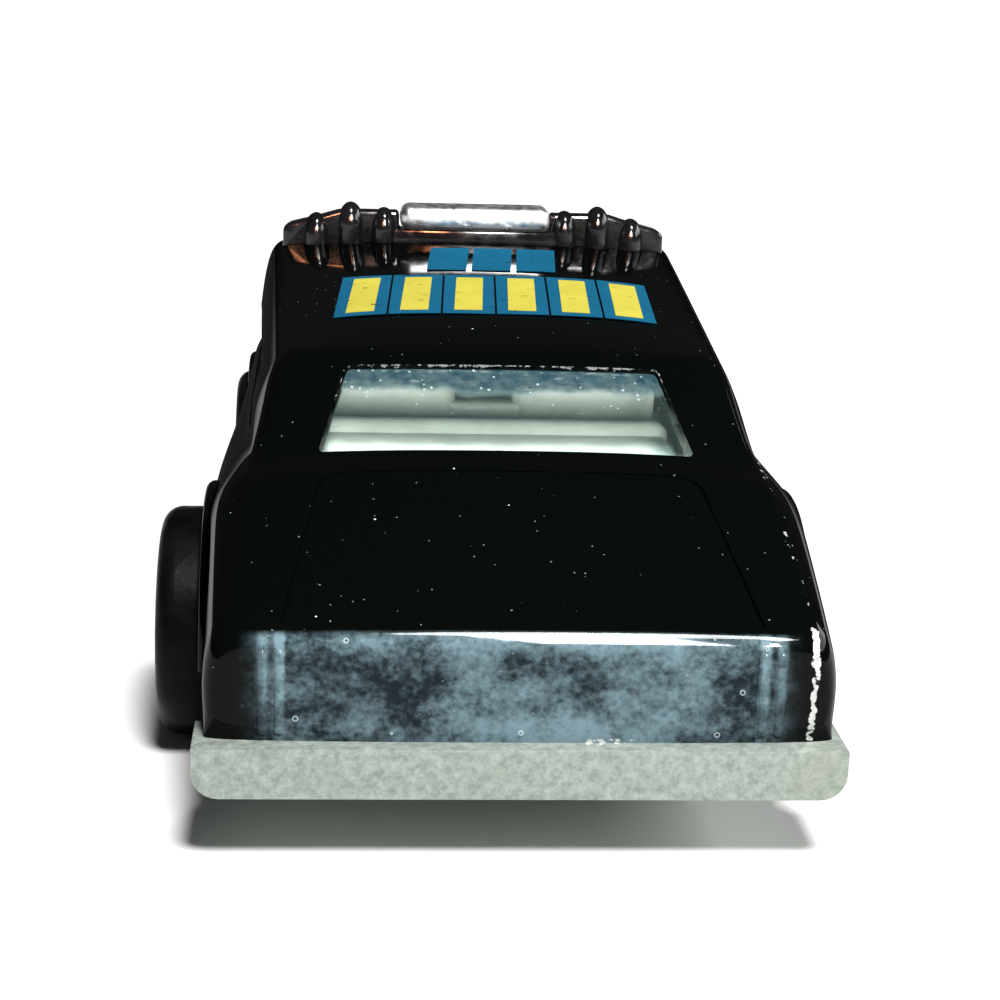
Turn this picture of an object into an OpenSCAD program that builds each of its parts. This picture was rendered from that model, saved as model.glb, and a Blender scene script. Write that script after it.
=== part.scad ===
// Die-cast toy police car: painted shell, bare base with bumpers, clear glazing, moulded interior,
// roof light bar and four wheels that turn on wire axles.
// Millimetres, +Y forward, +X to the car's right, +Z up, origin on the ground under the middle.

/* [Overall] */
// Length over both bumpers
car_l = 72; // [64:0.5:80]
// Width of the shell over the rear arches
shell_w = 29.4; // [27:0.2:31]
// Height of the base's underside above the ground
clearance_h = 3.15; // [2.6:0.05:3.6]
// Wall of the cast shell
wall = 1.1; // [0.8:0.05:1.4]

/* [Shell] */
// Height of the tail's top edge above the base
tail_h = 5.05; // [4:0.05:6.5]
// Height of the rear window's lower edge above the base
deck_h = 9.95; // [8.5:0.05:11]
// Height of the windscreen's lower edge above the base
cowl_h = 8.7; // [7.8:0.05:9.6]
// Height of the nose's top edge above the base
nose_h = 5; // [4:0.05:6.5]
// Set-back of the tail panel from the bumper's face
tail_setback = 0.95; // [0.6:0.05:1.6]
// Set-back of the nose from the bumper's face
nose_setback = 1.2; // [0.8:0.05:2]
// Rounding of the shell's ends
end_round = 0.7; // [0.4:0.05:1]
// Gap between a tyre and its wheel arch
arch_gap = 0.8; // [0.6:0.05:1.1]

/* [Cabin] */
// Height of the cabin's foot, at the door tops, above the base
cabin_foot_h = 7.85; // [7.4:0.05:8.1]
// Set-in of the cabin's foot from the shell's side
cabin_inset = 1.2; // [0.9:0.05:1.9]
// Width of the roof at its rear
roof_rear_w = 21.8; // [20:0.1:22.6]
// Width of the roof at its front
roof_front_w = 23.8; // [21:0.1:24.2]
// Height of the roof's rear edge above the base
roof_rear_h = 13.45; // [12.8:0.05:14.2]
// Height of the roof's front edge above the base
roof_front_h = 15.15; // [14.6:0.05:15.8]
// Rise of the roof's crown over its edges
crown_h = 0.7; // [0.4:0.05:1]
// Distance of the roof's rear edge behind the middle
roof_rear_y = 16.6; // [15:0.1:18]
// Distance of the roof's front edge before the middle
roof_front_y = 10.6; // [9.6:0.1:11.4]
// Distance of the rear window's lower edge behind the middle
window_rear_y = 22.3; // [21:0.1:24]
// Distance of the windscreen's lower edge before the middle
window_front_y = 16.8; // [16:0.1:18]

/* [Windows] */
// Width of the rear window's lower edge
rear_glass_w = 18.5; // [15:0.1:19]
// Width of the rear window's upper edge
rear_glass_top_w = 15.8; // [13:0.1:16.5]
// Width of the windscreen's lower edge
front_glass_w = 20; // [17:0.1:21]
// Width of the windscreen's upper edge
front_glass_top_w = 17.4; // [15:0.1:18.5]
// Thickness of the clear moulding
glass_t = 0.8; // [0.6:0.05:1]
// Gap between the clear moulding and the shell
glass_gap = 0.1; // [0.05:0.01:0.15]
// How far the panes stand in from the body's skin
pane_inset = 0.3; // [0.2:0.05:0.5]
// Gap between a pane's edge and its opening
pane_gap = 0.08; // [0.05:0.01:0.15]
// Rounding of the window corners
window_round = 0.6; // [0.3:0.05:0.9]

/* [Base] */
// Set-in of a bumper's end from the shell's side
bumper_inset = 0.2; // [0:0.05:0.8]
// Height of the bumpers and sills
bumper_h = 2.3; // [1.9:0.05:2.6]
// Depth of a bumper, front to back
bumper_d = 3.4; // [2.6:0.1:4.4]
// Rounding of the bumper's lower corners
bumper_round = 1.2; // [0.6:0.05:1.6]
// Thickness of the base's floor
floor_t = 1; // [0.8:0.05:1.2]
// Set-in of the base's side wall from the shell's side
sill_inset = 1.2; // [0.9:0.05:2]
// Width of the sill walls
sill_t = 1.4; // [1:0.05:1.8]
// Gap between a side wall's top and the shell
sill_gap = 0.15; // [0.1:0.01:0.3]
// Side gap between a wheel and the base
base_gap = 0.6; // [0.4:0.05:0.9]
// Height of the ribs and casings under the base
relief_h = 0.5; // [0.3:0.05:0.8]

/* [Posts] */
// Diameter of the shell's posts
post_d = 3.2; // [2.8:0.1:3.8]
// Diameter of a post's shank through the base
shank_d = 1.8; // [1.4:0.1:2.2]
// Diameter of a post's peened head
head_d = 3; // [2.6:0.1:3.4]
// Thickness of a post's peened head
head_t = 0.6; // [0.4:0.05:0.8]
// Diameter of the base's boss round a shank
boss_d = 5; // [4.6:0.1:5.6]
// Distance of the front post from the front bumper's face
front_post_in = 8; // [7:0.1:9]
// Distance of the rear post from the rear bumper's face
rear_post_in = 7.4; // [6.6:0.1:8]
// Gap round a shank and a head
post_gap = 0.1; // [0.05:0.01:0.2]

/* [Wheels] */
// Distance of the front axle from the front bumper's face
front_overhang = 16.1; // [15.4:0.1:17]
// Distance of the rear axle from the rear bumper's face
rear_overhang = 16.4; // [15.6:0.1:17]
// Diameter of a front tyre
front_tyre_d = 9.9; // [9.2:0.1:10.4]
// Diameter of a rear tyre
rear_tyre_d = 11.5; // [10.8:0.1:12]
// How far a wheel stands out from the shell's side, its axle in the middle
wheel_proud = 1.35; // [1:0.05:1.8]
// Side play of an axle: the rear one has slid left, the front one right
side_play = 0.95; // [0.6:0.05:1.1]
// Width of a front tyre
front_tyre_w = 4.2; // [3.6:0.1:4.4]
// Width of a rear tyre
rear_tyre_w = 4.8; // [4:0.1:5]
// Height of a tyre's side, tread to rim
tyre_side_h = 1.55; // [1.2:0.05:1.9]
// Rounding of a tyre's shoulder
tyre_round = 1; // [0.5:0.05:1.1]
// Seat gap between a tyre and its hub
tyre_gap = 0.02; // [0.01:0.01:0.04]

/* [Hubs and axles] */
// Diameter of an axle wire
axle_d = 1.2; // [1:0.05:1.4]
// Diameter of an axle's upset head
axle_head_d = 1.9; // [1.7:0.05:2.2]
// Thickness of an axle's upset head
axle_head_t = 0.45; // [0.3:0.05:0.6]
// Radial running gap round an axle
run_gap = 0.06; // [0.03:0.01:0.09]
// End play between a hub and its stops
end_gap = 0.15; // [0.1:0.01:0.25]
// Wall of a hub's rim
rim_t = 0.6; // [0.45:0.05:0.8]
// Wall of a hub's boss round the axle
hub_wall = 0.75; // [0.6:0.05:1]
// Thickness of a hub's spoked disc
disc_t = 1; // [0.7:0.05:1.4]
// Number of spokes on a hub
spokes = 5; // [3:1:8]
// Width of a spoke
spoke_w = 1.1; // [0.8:0.05:1.4]
// Depth of a hub's disc below the tyre's face
hub_dish = 1; // [0.8:0.05:1.3]
// Width of a saddle and of an axle foot
saddle_w = 2.2; // [1.6:0.1:3]
// Length of a saddle along the car
saddle_l = 3; // [2.4:0.1:3.6]
// Distance of a saddle from the car's middle
saddle_x = 7.6; // [6.6:0.1:8.4]

/* [Interior] */
// Gap between the tub and the shell's inside
tub_gap = 0.5; // [0.3:0.05:0.8]
// Wall of the tub
tub_t = 0.8; // [0.6:0.05:1]
// Height of the tub's underside above the base's floor
tub_lift = 2.6; // [2.2:0.05:3]
// Width of a front seat
seat_w = 8; // [7:0.1:8.6]
// Depth of a seat's cushion
seat_d = 6.6; // [5.6:0.1:7.4]
// Height of a seat's cushion above the tub's floor
cushion_h = 2.2; // [1.6:0.05:3]
// Thickness of a seat's back
back_t = 1.7; // [1.3:0.05:2.2]
// Height of a front seat's back above the tub's floor
back_h = 7.6; // [7:0.05:8.6]
// Height of the parcel shelf above the tub's rim
shelf_rise = 1; // [0.6:0.05:1.1]
// Height of the rear seat's back above the parcel shelf
bench_rise = 0.6; // [0.4:0.05:0.9]
// Lean of a front seat's back in degrees
back_lean = 14; // [8:1:18]
// Diameter of the steering wheel
steer_d = 4; // [3.2:0.1:4.6]
// Thickness of the steering wheel's rim
steer_t = 0.6; // [0.5:0.05:0.8]

/* [Light bar] */
// Length of the light bar across the roof
bar_l = 23.6; // [22:0.1:24.2]
// Depth of the light bar along the car
bar_d = 2.6; // [2.2:0.1:3.2]
// Height of the light bar's plinth over the roof's front edge
bar_h = 1.15; // [0.95:0.05:1.5]
// Height of the light bar's side blocks over the roof's front edge
block_h = 2.2; // [1.9:0.05:2.4]
// Height of the tallest beacons above the roof's front edge
beacon_h = 2.75; // [2.4:0.05:3]
// Diameter of a beacon
beacon_d = 1.7; // [1.3:0.05:1.9]
// Share of the light bar's length that the siren bar takes
siren_share = 0.39; // [0.34:0.01:0.4]
// Height of the siren bar above the plinth
siren_h = 1.5; // [1.2:0.05:1.7]
// Distance of the light bar's middle before the car's middle
bar_y = 8.2; // [7.4:0.1:8.6]
// Diameter of the light bar's pegs
peg_d = 1.2; // [0.9:0.05:1.5]
// Gap between a peg and its hole
peg_gap = 0.05; // [0.03:0.01:0.1]

/* [Hidden] */
$fn = 48;

// How far a cut runs past the face that it opens
overrun = 0.5;
// Widths that follow the shell, and width over the wheels of either axle
cabin_w = shell_w - cabin_inset * 2;
bumper_w = shell_w - bumper_inset * 2;
sill_w = shell_w - sill_inset * 2;
track_w = shell_w + wheel_proud * 2;
// Places along the car that follow its ends
front_axle_y = car_l / 2 - front_overhang;
rear_axle_y = car_l / 2 - rear_overhang;
front_post_y = car_l / 2 - front_post_in;
rear_post_y = car_l / 2 - rear_post_in;
// Level of the shell's lower edge, on the base
sill_z = clearance_h + bumper_h;
// Level of the top of the base's floor
floor_z = clearance_h + floor_t;
// Ends of the shell
tail_y = -car_l / 2 + tail_setback;
nose_y = car_l / 2 - nose_setback;
// Axle heights
front_axle_z = front_tyre_d / 2;
rear_axle_z = rear_tyre_d / 2;
axles = [[front_axle_y, front_axle_z], [-rear_axle_y, rear_axle_z]];

// Shell sections from tail to nose: place, crown level over the base, then the shares of the half width
// at sill, waist, shoulder and deck edge, and the shares of the crown level at shoulder and deck edge
function between(a, b, share) = a + (b - a) * share;
tail_shares = [0.945, 0.95, 0.915, 0.86, 0.88, 0.97];
corner_shares = [0.962, 0.965, 0.93, 0.88, 0.88, 0.985];
deck_shares = [0.955, 0.98, 0.965, 0.86, 0.85, 0.965];
arch_shares = [0.955, 1, 0.99, 0.86, 0.77, 0.93];
door_shares = [0.945, 0.965, 0.945, 0.87, 0.83, 0.93];
cowl_shares = [0.945, 0.965, 0.935, 0.84, 0.85, 0.95];
fender_shares = [0.94, 0.955, 0.92, 0.805, 0.87, 0.96];
hood_shares = [0.92, 0.935, 0.9, 0.785, 0.88, 0.965];
nose_shares = [0.89, 0.905, 0.87, 0.765, 0.88, 0.965];
lip_shares = [0.845, 0.86, 0.825, 0.725, 0.88, 0.96];
shell_rows = [
    [tail_y, tail_h - end_round / 3, tail_shares],
    [tail_y + end_round, tail_h + end_round / 4, corner_shares],
    [between(tail_y, -window_rear_y, 0.5), between(tail_h, deck_h, 0.53), deck_shares],
    [-window_rear_y, deck_h, arch_shares],
    [-rear_axle_y + rear_tyre_d / 2, between(deck_h, cowl_h, 0.4), arch_shares],
    [0, between(deck_h, cowl_h, 0.8), door_shares],
    [window_front_y, cowl_h, cowl_shares],
    [front_axle_y + front_tyre_d / 2, between(cowl_h, nose_h, 0.33), fender_shares],
    [between(window_front_y, nose_y, 0.78), between(cowl_h, nose_h, 0.62), hood_shares],
    [nose_y - end_round * 2, nose_h + end_round / 3, nose_shares],
    [nose_y, nose_h - end_round / 3, lip_shares]
];
// Height share of the waist, where the shell is widest
waist_share = 0.52;
// Crown between the deck's edge and the middle, as shares of width and of the rise
crown_shares = [0.55, 0.75];

// Roof rounding: how far its edge draws in, and shares of that across the car and on to the crown
crown_draw = 0.95;
roof_side_share = 0.65;
roof_crown_share = 4;
// How far each ring's corners are squared, as the power of its rounded outline
ring_power_share = 0.3;
// Bulge of the cabin's sides at mid height, and the share of the rise where it lies
side_bulge = 0.5;
bulge_share = 0.5;
// Points round a cabin ring
ring_points = 40;
// Sloping front and rear walls are cut back further along the car than across it
slope_share = 1.7;

// Shell section at a row, drawn in by an inset, open below by a drop
function half_section(row, inset, drop) =
    let (half = shell_w / 2, s = row[2], top = row[1] - inset)
    [
        [half * s[0] - inset, sill_z - drop],
        [half * s[1] - inset, sill_z + row[1] * waist_share],
        [half * s[2] - inset, sill_z + row[1] * s[4] - inset / 2],
        [half * s[3] - inset, sill_z + row[1] * s[5] - inset],
        [
            (half * s[3] - inset) * crown_shares[0],
            sill_z + between(row[1] * s[5] - inset, top, crown_shares[1])
        ]
    ];
function full_section(row, y, inset, drop) =
    let (right = half_section(row, inset, drop), last = len(right) - 1)
    concat(
        [for (p = right) [-p[0], y, p[1]]],
        [[0, y, sill_z + row[1] - inset]],
        [for (i = [last:-1:0]) [right[i][0], y, right[i][1]]]
    );
function row_y(index, inset) =
    index <= 1 ? shell_rows[index][0] + inset
    : index >= len(shell_rows) - 2 ? shell_rows[index][0] - inset
    : shell_rows[index][0];
function shell_rings(inset, drop) =
    [for (i = [0:len(shell_rows) - 1]) full_section(shell_rows[i], row_y(i, inset), inset, drop)];
// Level of the shell's crown over the base at a place along the car
function crown_at(y) = lookup(y, [for (row = shell_rows) [row[0], row[1]]]);

// One rounded outline: y limits, half widths at the rear and front, levels at the rear and front
function ring(y0, y1, w0, w1, z0, z1) =
    [for (i = [0:ring_points - 1])
        let (
            a = 360 * i / ring_points,
            u = sign(cos(a)) * pow(abs(cos(a)), ring_power_share),
            v = sign(sin(a)) * pow(abs(sin(a)), ring_power_share),
            share = (v + 1) / 2
        )
        [u * between(w0, w1, share), between(y0, y1, share), between(z0, z1, share)]
    ];
// Where a sloping window's line meets a level above the base
function rear_y_at(h) =
    between(-window_rear_y, -roof_rear_y, (h - deck_h) / (roof_rear_h - deck_h));
function front_y_at(h) =
    between(window_front_y, roof_front_y, (h - cowl_h) / (roof_front_h - cowl_h));
function cabin_ring(inset, rear_h, front_h, w0, w1) =
    ring(rear_y_at(rear_h) + inset * slope_share, front_y_at(front_h) - inset * slope_share,
        w0 / 2 - inset, w1 / 2 - inset, sill_z + rear_h, sill_z + front_h);
function roof_ring(inset, draw, side, rise) =
    ring(-roof_rear_y + inset * slope_share + draw, roof_front_y - inset * slope_share - draw,
        roof_rear_w / 2 - inset - side, roof_front_w / 2 - inset - side,
        sill_z + roof_rear_h - inset + rise, sill_z + roof_front_h - inset + rise);
function cabin_rings(inset, root) =
    let (
        mid_rear_h = between(cabin_foot_h, roof_rear_h, bulge_share),
        mid_front_h = between(cabin_foot_h, roof_front_h, bulge_share),
        mid_rear_w = between(cabin_w, roof_rear_w, bulge_share) + side_bulge * 2,
        mid_front_w = between(cabin_w, roof_front_w, bulge_share) + side_bulge * 2
    )
    concat(
        root > 0 ? [cabin_ring(inset, cabin_foot_h - root, cabin_foot_h - root, cabin_w, cabin_w)] : [],
        [
            cabin_ring(inset, cabin_foot_h, cabin_foot_h, cabin_w, cabin_w),
            cabin_ring(inset, mid_rear_h, mid_front_h, mid_rear_w, mid_front_w),
            roof_ring(inset, 0, 0, 0),
            roof_ring(inset, crown_draw, crown_draw * roof_side_share, crown_h / 2),
            roof_ring(inset, crown_draw * roof_crown_share, roof_rear_w / 4, crown_h)
        ]
    );

// Skin over rings of equal length, each ring counter-clockwise seen from the last ring's side
module loft(rings) {
    count = len(rings[0]);
    last = len(rings) - 1;
    points = [for (r = rings) for (p = r) p];
    sides = [for (i = [0:last - 1]) for (j = [0:count - 1])
        let (a = i * count + j, b = i * count + (j + 1) % count)
        each [[a, b + count, b], [a, a + count, b + count]]
    ];
    polyhedron(points, concat(sides,
        [[for (j = [0:count - 1]) j]],
        [[for (j = [count - 1:-1:0]) last * count + j]]));
}

// Outline with rounded corners from a list of corners
function rounded(corners, r) =
    let (n = len(corners), steps = 4)
    [for (i = [0:n - 1])
        let (
            p = corners[i],
            a = corners[(i + n - 1) % n] - p,
            b = corners[(i + 1) % n] - p,
            start = p + a / norm(a) * r,
            end = p + b / norm(b) * r
        )
        for (k = [0:steps])
            let (t = k / steps)
            start * (1 - t) * (1 - t) + p * 2 * t * (1 - t) + end * t * t
    ];

// Window outlines, in the plane of the pane for the two sloping ones
rear_slope = atan2(roof_rear_h - deck_h, window_rear_y - roof_rear_y);
front_slope = atan2(roof_front_h - cowl_h, window_front_y - roof_front_y);
rear_glass_l = norm([roof_rear_h - deck_h, window_rear_y - roof_rear_y]);
front_glass_l = norm([roof_front_h - cowl_h, window_front_y - roof_front_y]);
// Shares of a pane's slope at which its opening starts and ends
rear_opening_shares = [0.01, 0.88];
front_opening_shares = [0.08, 0.86];
module sloping_opening(length, shares, low_w, high_w, shrink) {
    linear_extrude(wall * 4, center = true)
        offset(delta = -shrink)
            polygon(rounded([
                [-low_w / 2, length * shares[0]],
                [low_w / 2, length * shares[0]],
                [high_w / 2, length * shares[1]],
                [-high_w / 2, length * shares[1]]
            ], window_round));
}
// Side window corners as shares of the cabin's length and of the rise from its foot to the roof
side_window_shares = [[0.2, 0.22], [0.9, 0.22], [0.735, 0.78], [0.3, 0.72]];
module side_openings(shrink) {
    long = window_front_y + window_rear_y;
    rise = roof_rear_h - cabin_foot_h;
    corners = [for (s = side_window_shares)
        [-window_rear_y + long * s[0], sill_z + cabin_foot_h + rise * s[1]]];
    rotate([90, 0, 90])
        linear_extrude(shell_w, center = true)
            offset(delta = -shrink)
                polygon(rounded(corners, window_round));
}
module window_openings(shrink) {
    translate([0, -window_rear_y, sill_z + deck_h])
        rotate([rear_slope, 0, 0])
            sloping_opening(rear_glass_l, rear_opening_shares, rear_glass_w, rear_glass_top_w, shrink);
    translate([0, window_front_y, sill_z + cowl_h])
        rotate([front_slope, 0, 180])
            sloping_opening(front_glass_l, front_opening_shares, front_glass_w, front_glass_top_w, shrink);
    side_openings(shrink);
}

// Light bar places: the roof's edge level at the bar, beacon places and heights as shares
function roof_at(y) =
    sill_z + between(roof_rear_h, roof_front_h, (y + roof_rear_y) / (roof_front_y + roof_rear_y));
bar_top_z = sill_z + roof_front_h + bar_h;
beacon_place_shares = [0.5, 0.665, 0.84];
beacon_height_shares = [0.88, 1, 0.66];
peg_place_share = 0.75;
peg_bottom_z = roof_at(bar_y) + crown_h / 2 - wall * 0.75;
// Gap between the light bar and the roof, and between a side block and the siren bar
bar_gap = 0.05;
// Side block's slope: shares of the bar's half length and of the block's height
block_shares = [[0.7, 1], [0.8, 0.8], [0.97, 0.6], [1, 0.45]];
// Siren bar length, and the pins under it
siren_l = bar_l * siren_share;
pin_d = 0.8;
pin_l = 0.35;
pin_place_share = 0.35;

// Grille slots and lamps in the nose, ribs on the tail
grille_w = 12.6;
grille_h = 2.2;
grille_depth = 0.45;
grille_bar_share = 0.35;
grille_slots = 9;
grille_level_share = 0.44;
lamp_d = 2.3;
lamp_proud = 0.3;
lamp_place_shares = [0.57, 0.76];
rib_d = 0.5;
rib_place_shares = [0.745, 0.805];
rib_height_shares = [0.06, 0.86];

module posts() {
    for (y = [front_post_y, -rear_post_y]) {
        top = sill_z + min(crown_at(y - post_d / 2), crown_at(y + post_d / 2)) - wall / 2;
        head_z = clearance_h + post_gap;
        translate([0, y, sill_z])
            cylinder(d = post_d, h = top - sill_z);
        translate([0, y, head_z])
            cylinder(d = shank_d, h = sill_z - head_z + overrun);
        translate([0, y, head_z])
            cylinder(d = head_d, h = head_t);
    }
}
module arches() {
    for (side = [-1, 1]) {
        translate([side * shell_w / 4, -rear_axle_y, rear_axle_z])
            rotate([0, side * 90, 0])
                cylinder(r = rear_tyre_d / 2 + arch_gap, h = shell_w / 2);
        translate([side * shell_w / 4, front_axle_y, front_axle_z])
            rotate([0, side * 90, 0])
                cylinder(r = front_tyre_d / 2 + arch_gap, h = shell_w / 2);
    }
}
module grille() {
    pitch = grille_w / grille_slots;
    slot_w = pitch * (1 - grille_bar_share);
    low_z = sill_z + nose_h * grille_level_share - grille_h / 2;
    for (i = [0:grille_slots - 1])
        translate([-grille_w / 2 + pitch * (i + grille_bar_share / 2), nose_y - grille_depth, low_z])
            cube([slot_w, grille_depth + overrun, grille_h]);
}
module lamps() {
    for (side = [-1, 1], share = lamp_place_shares)
        translate([side * shell_w / 2 * share, nose_y + lamp_proud, sill_z + nose_h * grille_level_share])
            rotate([90, 0, 0])
                cylinder(d = lamp_d, h = lamp_proud + wall);
}
module tail_ribs() {
    low = tail_h * rib_height_shares[0];
    for (side = [-1, 1], share = rib_place_shares)
        translate([side * shell_w / 2 * share, tail_y, sill_z + low])
            cylinder(d = rib_d, h = tail_h * (rib_height_shares[1] - rib_height_shares[0]));
}
module body_shell() color("#0b0b0d") {
    difference() {
        union() {
            loft(shell_rings(0, 0));
            loft(cabin_rings(0, wall));
        }
        loft(shell_rings(wall, overrun));
        loft(cabin_rings(wall, wall * 2));
        arches();
        window_openings(0);
        grille();
        for (side = [-1, 1])
            translate([side * bar_l / 2 * peg_place_share, bar_y, peg_bottom_z - wall])
                cylinder(d = peg_d + peg_gap * 2, h = wall * 3);
    }
    posts();
    lamps();
    tail_ribs();
}

// Base: wheel notches leave a spine between the wheels
front_notch_x = track_w / 2 - side_play - front_tyre_w - base_gap;
rear_notch_x = track_w / 2 - side_play - rear_tyre_w - base_gap;
front_notch = front_tyre_d / 2 + base_gap;
rear_notch = rear_tyre_d / 2 + base_gap;
module plate(y0, y1, w) {
    translate([-w / 2, y0])
        square([w, y1 - y0]);
}
module base_floor() {
    plate(-car_l / 2 + bumper_d / 2, -rear_axle_y - rear_notch, sill_w);
    plate(-rear_axle_y - rear_notch, -rear_axle_y + rear_notch, rear_notch_x * 2);
    plate(-rear_axle_y + rear_notch, front_axle_y - front_notch, sill_w);
    plate(front_axle_y - front_notch, front_axle_y + front_notch, front_notch_x * 2);
    plate(front_axle_y + front_notch, car_l / 2 - bumper_d / 2, sill_w);
}
module base_walls() {
    spans = [
        [-car_l / 2 + bumper_d / 2, -rear_axle_y - rear_notch],
        [-rear_axle_y + rear_notch, front_axle_y - front_notch],
        [front_axle_y + front_notch, car_l / 2 - bumper_d / 2]
    ];
    for (span = spans)
        difference() {
            plate(span[0], span[1], sill_w);
            plate(span[0] - overrun, span[1] + overrun, sill_w - sill_t * 2);
        }
}
module bumper() {
    rotate([90, 0, 0])
        linear_extrude(bumper_d)
            polygon(concat(
                [[-bumper_w / 2, bumper_h]],
                [for (k = [0:6])
                    let (a = 180 + 15 * k)
                    [-bumper_w / 2 + bumper_round * (1 + cos(a)), bumper_round * (1 + sin(a))]],
                [for (k = [0:6])
                    let (a = 270 + 15 * k)
                    [bumper_w / 2 - bumper_round * (1 - cos(a)), bumper_round * (1 + sin(a))]],
                [[bumper_w / 2, bumper_h]]
            ));
}
// Pockets under the floor leave the drive line standing, level with the underside
pocket_w_share = 0.3;
pocket_gap_share = 0.1;
pipe_share = 0.8;
module pockets() {
    y0 = -rear_axle_y + rear_notch + sill_t;
    y1 = front_axle_y - front_notch - sill_t;
    w = sill_w * pocket_w_share;
    for (side = [-1, 1])
        translate([side * (sill_w * pocket_gap_share + w / 2) - w / 2, y0, clearance_h - overrun])
            cube([w, y1 - y0, relief_h + overrun]);
}
module pipes() {
    y0 = -rear_axle_y + rear_notch;
    y1 = front_axle_y - front_notch;
    x = sill_w * (pocket_gap_share + pocket_w_share / 2);
    for (side = [-1, 1])
        translate([side * x, y0, clearance_h + relief_h])
            rotate([-90, 0, 0])
                cylinder(r = relief_h * pipe_share, h = y1 - y0);
}
module saddles() {
    for (side = [-1, 1], axle = axles)
        translate([side * saddle_x - saddle_w / 2, axle[0] - saddle_l / 2, floor_z - floor_t / 2])
            cube([saddle_w, saddle_l, axle[1] - floor_z + floor_t / 2]);
}
module axle_holes() {
    for (axle = axles)
        translate([-shell_w / 2, axle[0], axle[1]])
            rotate([0, 90, 0])
                cylinder(r = axle_d / 2 + run_gap, h = shell_w);
}
module base_plate() color("#aab0a5") {
    difference() {
        union() {
            difference() {
                translate([0, 0, clearance_h])
                    linear_extrude(floor_t)
                        base_floor();
                pockets();
            }
            pipes();
            translate([0, 0, clearance_h])
                linear_extrude(bumper_h - sill_gap)
                    base_walls();
            translate([0, -car_l / 2 + bumper_d, clearance_h])
                bumper();
            translate([0, car_l / 2, clearance_h])
                bumper();
            saddles();
            for (y = [front_post_y, -rear_post_y])
                translate([0, y, clearance_h])
                    cylinder(d = boss_d, h = bumper_h);
        }
        axle_holes();
        for (y = [front_post_y, -rear_post_y]) {
            translate([0, y, clearance_h])
                cylinder(d = shank_d + post_gap * 2, h = bumper_h + overrun);
            translate([0, y, clearance_h - overrun])
                cylinder(d = head_d + post_gap * 2, h = overrun + post_gap + head_t);
        }
    }
}

module windows() color("#9fd6cf", 0.5)
    difference() {
        union() {
            loft(cabin_rings(wall + glass_gap, 0));
            intersection() {
                loft(cabin_rings(pane_inset, 0));
                window_openings(pane_gap);
            }
        }
        loft(cabin_rings(wall + glass_gap + glass_t, overrun));
    }

// Interior width, and places along the car
tub_w = cabin_w - (wall + tub_gap) * 2;
tub_rear_y = -rear_axle_y - saddle_l / 2;
tub_front_y = roof_front_y;
tub_z = floor_z + tub_lift;
seat_floor_z = tub_z + tub_t;
rim_z = sill_z + cabin_foot_h;
seat_place_share = 0.24;
front_seat_y = 2.6;
rear_seat_y = -6;
shelf_d = 4.4;
dash_d = 3;
module front_seat() {
    translate([-seat_w / 2, -seat_d, seat_floor_z - tub_t / 2])
        cube([seat_w, seat_d, cushion_h + tub_t / 2]);
    translate([-seat_w / 2, -seat_d, seat_floor_z])
        rotate([back_lean, 0, 0])
            cube([seat_w, back_t, back_h]);
}
module rear_seat() {
    w = tub_w - tub_t * 5;
    back_y = rear_seat_y - seat_d;
    shelf_y = tub_rear_y + tub_t * 3;
    low_z = seat_floor_z - tub_t / 2;
    shelf_z = rim_z + shelf_rise;
    translate([-w / 2, back_y - back_t / 2, low_z])
        cube([w, seat_d + back_t / 2, seat_floor_z + cushion_h - low_z]);
    translate([-w / 2, back_y - back_t, low_z])
        cube([w, back_t, shelf_z + bench_rise - low_z]);
    translate([-w / 2, shelf_y, rim_z - tub_t / 2])
        cube([w, back_y - back_t / 2 - shelf_y, shelf_z - rim_z + tub_t / 2]);
}
module steering_wheel() {
    translate([-tub_w * seat_place_share, tub_front_y - dash_d, rim_z - steer_d / 3])
        rotate([60, 0, 0]) {
            rotate_extrude()
                translate([steer_d / 2 - steer_t / 2, 0])
                    circle(d = steer_t);
            translate([-steer_d / 2 + steer_t / 2, -steer_t / 2, -steer_t / 4])
                cube([steer_d - steer_t, steer_t, steer_t / 2]);
            translate([0, 0, -dash_d])
                cylinder(d = steer_t * 1.5, h = dash_d);
        }
}
module tub() {
    difference() {
        translate([-tub_w / 2, tub_rear_y, tub_z])
            cube([tub_w, tub_front_y - tub_rear_y, rim_z - tub_z]);
        translate([-tub_w / 2 + tub_t, tub_rear_y + tub_t, seat_floor_z])
            cube([tub_w - tub_t * 2, tub_front_y - tub_rear_y - tub_t * 2, rim_z]);
    }
    translate([-tub_w / 2, tub_rear_y, rim_z - tub_t])
        cube([tub_w, shelf_d, tub_t]);
    translate([-tub_w / 2, tub_front_y - dash_d, rim_z - dash_d])
        cube([tub_w, dash_d, dash_d]);
}
module axle_feet() {
    translate([-saddle_x - saddle_w / 2, tub_front_y - tub_t, tub_z])
        cube([saddle_x * 2 + saddle_w, front_axle_y + saddle_l / 2 - tub_front_y + tub_t, tub_t]);
    for (side = [-1, 1], axle = axles)
        translate([side * saddle_x - saddle_w / 2, axle[0] - saddle_l / 2, axle[1]])
            cube([saddle_w, saddle_l, tub_z + tub_t / 2 - axle[1]]);
}
module wheel_houses() {
    for (side = [-1, 1])
        translate([side * rear_notch_x, -rear_axle_y, rear_axle_z])
            rotate([0, side * 90, 0])
                cylinder(r = rear_tyre_d / 2 + arch_gap, h = shell_w / 2);
}
module interior() color("#b9c6b8") {
    difference() {
        union() {
            tub();
            axle_feet();
            for (side = [-1, 1])
                translate([side * tub_w * seat_place_share, front_seat_y, 0])
                    front_seat();
            rear_seat();
        }
        axle_holes();
        wheel_houses();
    }
    steering_wheel();
}

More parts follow.
